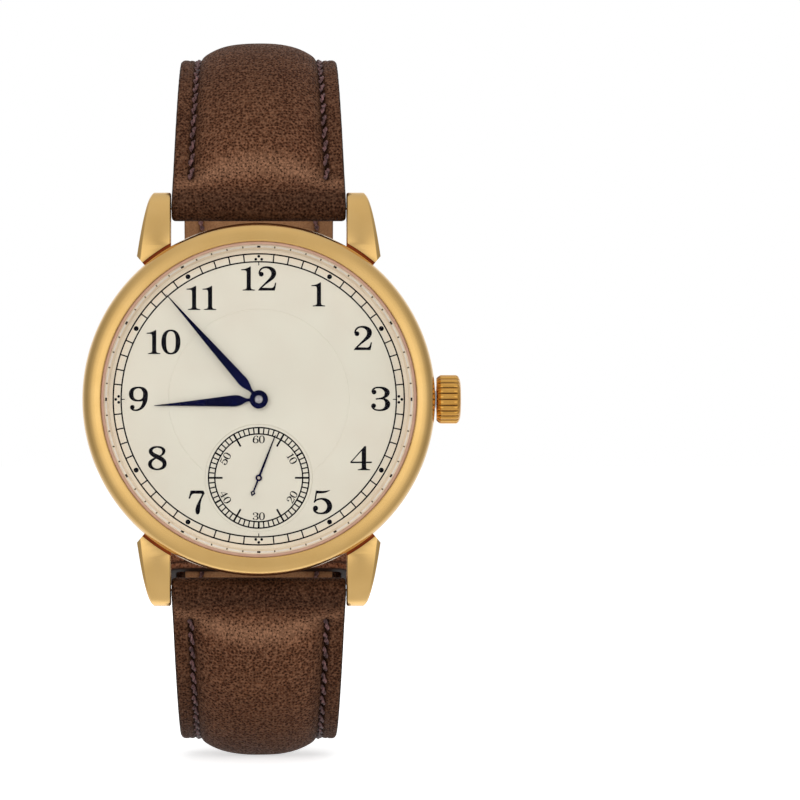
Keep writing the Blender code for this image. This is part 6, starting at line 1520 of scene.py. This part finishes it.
def makeBuckleFrame():
    shape = buckleShape
    half, inside = shape["halfWidth"], shape["halfWidth"] - shape["side"]
    reach = half - 0.95
    rise = shape["apexY"] - shape["cornerY"]
    arcRadius = (reach ** 2 + rise ** 2) / (2 * rise)
    spread = math.degrees(math.asin(reach / arcRadius))
    arch = circlePoints(arcRadius, 41, (0, shape["apexY"] - arcRadius), 90 + spread, -2 * spread)
    cornerY, opening = shape["cornerY"], shape["opening"]
    rightCorner = throughPoints([arch[-1], (half - 0.30, cornerY - 0.75), (half - 0.04, cornerY - 1.9),
                                 (half, cornerY - 3.2)], 6)[1:]
    rightArm = [(half, 6.0), (half, 3.0), (half - 0.04, 1.4), (half - 0.14, 0.5)]
    armHalf = shape["side"] / 2
    rightArm += circlePoints(armHalf - 0.06, 9, (half - armHalf - 0.04, shape["end"] + 0.60), -8, -164)
    rightInner = [(inside, 1.2), (inside, 4.0), (inside, 6.5)]
    corner = shape["corner"]
    rightInner += circlePoints(corner, 9, (inside - corner, opening - corner), 0, 90)
    bottom = [(6.0, opening), (4.0, opening), (2.0, opening)]
    right = arch[21:] + rightCorner + rightArm + rightInner + bottom
    outline = [arch[20]] + right + [(0.0, opening)] + [(-x, y) for x, y in reversed(right)]
    thick, edge = shape["halfThick"], shape["edge"]
    rings, widths = [], []
    for x, y in outline:  # how far each edge is rounded over
        across = abs(x)
        if y <= opening + 0.01 and across <= inside + 0.01:
            widths.append(0.34 + 0.34 * smoothStep((y - opening + 1.3) / 0.9))
        elif across > half - 0.7:
            widths.append(0.40 + 0.30 * smoothStep((y - 6.0) / 3.0) - 0.12 * smoothStep((y - 11.2) / 0.8))
        elif y < 2:
            widths.append(0.34)
        else:
            widths.append(0.24 + 0.3 * smoothStep((across - 8.6) / 1.6))
    atOpening = [abs(x) <= inside and y <= opening + 0.01 for x, y in outline]
    near = [smoothStep((y - opening + 1.3) / 0.9) * close for (_, y), close in zip(outline, atOpening)]
    fineLine = ((0.30, 0.0), (0.22, 0.0), (0.16, 0.24), (0.08, 0.24), (0.02, 0.0))  # cut in round the opening
    for offset, drop in fineLine:
        inset = [width + offset * (0.1 + 0.9 * share) for width, share in zip(widths, near)]
        rings.append([bucklePlace(x, y, thick - drop * share)
                      for (x, y), share in zip(insetLine(outline, inset), near)])
    for side in (1, -1):
        for k in range(7):
            turn = math.radians(90 * k / 6) if side > 0 else math.radians(90 - 90 * k / 6)
            inset = [(width if side > 0 else 0.3) * (1 - math.sin(turn)) for width in widths]
            z = side * (thick - edge + edge * math.cos(turn))
            rings.append([bucklePlace(x, y, z) for x, y in insetLine(outline, inset)])
    frameObject = rawPiece("buckleFrame", *lofted(rings))
    notch = shape["notch"]
    profile = [(0, shape["notchFloor"]), (notch - 0.35, shape["notchFloor"]),
               (notch - 0.1, shape["notchFloor"] + 0.1), (notch, shape["notchFloor"] + 0.35),
               (notch, thick - 0.12), (notch + 0.05, thick - 0.03), (notch + 0.16, thick + 0.03),
               (notch + 0.16, 3), (0, 3)]
    centreY = shape["notchTop"] - notch
    cup = rawPiece("cup", *turned(profile, 64, lambda a, b, c: bucklePlace(a, b + centreY, c), ring=False))
    carve(frameObject, cup)
    mouth = [(-r, z) for r, z in reversed(profile[1:-1])] + profile[1:-1]
    punch(frameObject, mouth, (8.0, centreY), lambda x, z, y: bucklePlace(x, y, z))
    drill(frameObject, shape["pinHole"], -12, 12, 32, lambda a, b, c: bucklePlace(c, a, b))
    settle(frameObject, "buckle", buckleGold, ["buckle_frame"], 20)
    nodes["buckle_bar"].data.materials[0] = buckleGold


def makeTongue():
    shape = tongueShape
    route = throughPoints([(1.05, -0.35), (2.2, -0.78), (3.5, -1.02), (4.6, -0.96), (5.4, -0.55), (6.1, 0.02),
                           (6.9, 0.52), (7.8, 0.74), (8.8, 0.75), (10.0, 0.66), (10.2, 0.645), (10.5, 0.617),
                           (10.75, 0.593), (10.9, 0.578), (11.0, 0.568), (11.08, 0.56)], 4)
    rings = []
    for i, (y, z) in enumerate(route):
        before, after = route[max(i - 1, 0)], route[min(i + 1, len(route) - 1)]
        along = Vector((after[0] - before[0], after[1] - before[1])).normalized()
        up = Vector((-along.y, along.x))
        left = 11.1 - y
        size = math.sqrt(max(1 - (1 - min(left / 1.0, 1.0)) ** 2, 0.0)) if left < 1.0 else 1.0
        size = max(size, 0.06)
        ring = []
        for k in range(28):
            angle = 2 * math.pi * k / 28
            cosine, sine = math.cos(angle), math.sin(angle)
            x = shape["halfWidth"] * size * math.copysign(abs(cosine) ** 0.75, cosine)
            n = shape["halfThick"] * (0.35 + 0.65 * size) * math.copysign(abs(sine) ** 0.85, sine)
            ring.append(bucklePlace(x, y + up.x * n, z + up.y * n))
        rings.append(ring)
    eyeRadius, bore, wide = shape["eye"], shape["bore"], shape["halfWidth"]
    eye = turned([(bore, -wide + 0.05), (bore + 0.05, -wide), (eyeRadius - 0.2, -wide),
                  (eyeRadius - 0.05, -wide + 0.06), (eyeRadius, -wide + 0.2), (eyeRadius, wide - 0.2),
                  (eyeRadius - 0.05, wide - 0.06), (eyeRadius - 0.2, wide), (bore + 0.05, wide),
                  (bore, wide - 0.05)], 48, lambda a, b, c: bucklePlace(c, a, b))
    piece = rawPiece("buckleTongue", *joined(lofted(rings), eye))
    settle(piece, "tongue", buckleGold, ["buckle_tongue"], 45)


makeBuckleFrame()
makeTongue()
print("buckle made")


roomShape = dict(floorZ=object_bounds()[0][2], world=0.60, camera=1.0, glow=1.5)
levelGlow = ((0.0, 1.0), (0.03, 0.9), (0.09, 0.66), (0.25, 0.40), (0.5, 0.26), (0.7, 0.26), (0.86, 0.36),
             (0.95, 0.66))
uprightGlow = ((0.0, 0.42), (0.05, 0.45), (0.25, 0.50), (0.5, 0.53), (0.7, 0.50), (0.86, 0.48), (0.95, 0.66))
lowGlow = ((0.0, 0.42), (0.05, 0.45), (0.25, 0.50), (0.5, 0.50), (0.62, 0.55), (0.74, 0.86), (0.88, 0.86),
           (0.96, 0.66))
lampPlan = dict(
    key=dict(at=(-0.16, -0.62, 0.17), size=0.42, power=1.5),
    fill=dict(at=(0.42, -0.45, 0.05), size=0.40, power=0.7),
    top=dict(at=(0.0, 0.05, 0.60), size=0.50, power=0.1),
    back=dict(at=(0.10, 0.55, 0.25), size=0.50, power=0.9))
cameraPlan = dict(sensor=36.0, distance=0.680, wide=0.0907, dialY=-0.00565, shiftX=0.17655, shiftY=-0.0008)


def makeFloor():
    size, z = 3.0, roomShape["floorZ"] - 0.00002
    mesh = bpy.data.meshes.new("floor")
    mesh.from_pydata([(-size, -size, z), (size, -size, z), (size, size, z), (-size, size, z)], [],
                     [(0, 1, 2, 3)])
    floor = bpy.data.objects.new("floor", mesh)
    scene.collection.objects.link(floor)
    finish = bpy.data.materials.new("paleFloor")
    tree, surface = clearTree(finish, "Material")
    seen, mirrored = seenRays(tree)
    white = (1, 1, 1, 1)
    lit = addShader(tree, seen, addGlow(tree, "Emission", white, 0.0), addGlow(tree, "Emission", white, 0.62))
    total = addNode(tree, "ShaderNodeAddShader", {0: addGlow(tree, "BsdfDiffuse", (0.85, 0.85, 0.85, 1)),
                                                  1: lit})
    clear = addNode(tree, "ShaderNodeBsdfTransparent").outputs[0]  # metal mirrors the room, not the floor
    tree.links.new(addShader(tree, mirrored, total.outputs[0], clear), surface)
    mesh.materials.append(finish)


def makeStudio():  # white to the camera, with its own soft bands of light in mirrors
    scene.world = bpy.data.worlds.new("studio")
    tree, surface = clearTree(scene.world, "World")
    seen, mirrored = seenRays(tree)
    plain, white = (addGlow(tree, "Background", (1, 1, 1, 1), roomShape[key]) for key in ("world", "camera"))
    place = addNode(tree, "ShaderNodeTexCoord").outputs["Generated"]
    split = addNode(tree, "ShaderNodeSeparateXYZ", {0: place})
    share = addMath(tree, "MULTIPLY_ADD", split.outputs["Y"], 0.5, 0.5)

    def glowRamp(stops):
        ramp = tree.nodes.new("ShaderNodeValToRGB")
        tree.links.new(share, ramp.inputs[0])
        while len(ramp.color_ramp.elements) < len(stops):
            ramp.color_ramp.elements.new(0.5)
        for element, (at, value) in zip(ramp.color_ramp.elements, stops):
            element.position = at
            element.color = (value, value, value, 1)
        return ramp.outputs[0]
    level, upright = glowRamp(levelGlow), glowRamp(uprightGlow)
    under = addMath(tree, "LESS_THAN", split.outputs["Z"], 0.0)
    upright = addMix(tree, under, upright, glowRamp(lowGlow))
    across = addMath(tree, "POWER", split.outputs["X"], 2.0)
    whole = addMath(tree, "MULTIPLY_ADD", split.outputs["Z"], split.outputs["Z"], 0.01)
    side = addMath(tree, "DIVIDE", across, addMath(tree, "ADD", across, whole))
    glow = addMix(tree, side, upright, level)
    mirror = addGlow(tree, "Background", glow, roomShape["glow"])
    tree.links.new(addShader(tree, seen, addShader(tree, mirrored, plain, mirror), white), surface)


def makeLamps():
    for name, lamp in lampPlan.items():
        data = bpy.data.lights.new(name, "AREA")
        data.shape = "DISK"
        data.size = lamp["size"]
        data.energy = lamp["power"]
        item = bpy.data.objects.new(name, data)
        item.visible_glossy = False
        item.location = lamp["at"]
        item.rotation_euler = (Vector((0, 0.02, 0)) - Vector(lamp["at"])).to_track_quat("-Z", "Y").to_euler()
        scene.collection.objects.link(item)


def makeCamera():
    plan = cameraPlan
    data = bpy.data.cameras.new("camera")
    data.sensor_width = plan["sensor"]
    data.lens = plan["sensor"] * plan["distance"] / plan["wide"]
    data.shift_x, data.shift_y = plan["shiftX"], plan["shiftY"]
    data.clip_start, data.clip_end = 0.01, 20.0
    camera = bpy.data.objects.new("camera", data)
    camera.location = (0, plan["dialY"] - plan["distance"], 0)
    camera.rotation_euler = (math.radians(90), 0, 0)
    scene.collection.objects.link(camera)
    scene.camera = camera


makeFloor()
makeStudio()
makeLamps()
makeCamera()
scene.view_settings.view_transform = "Standard"
print("room made")
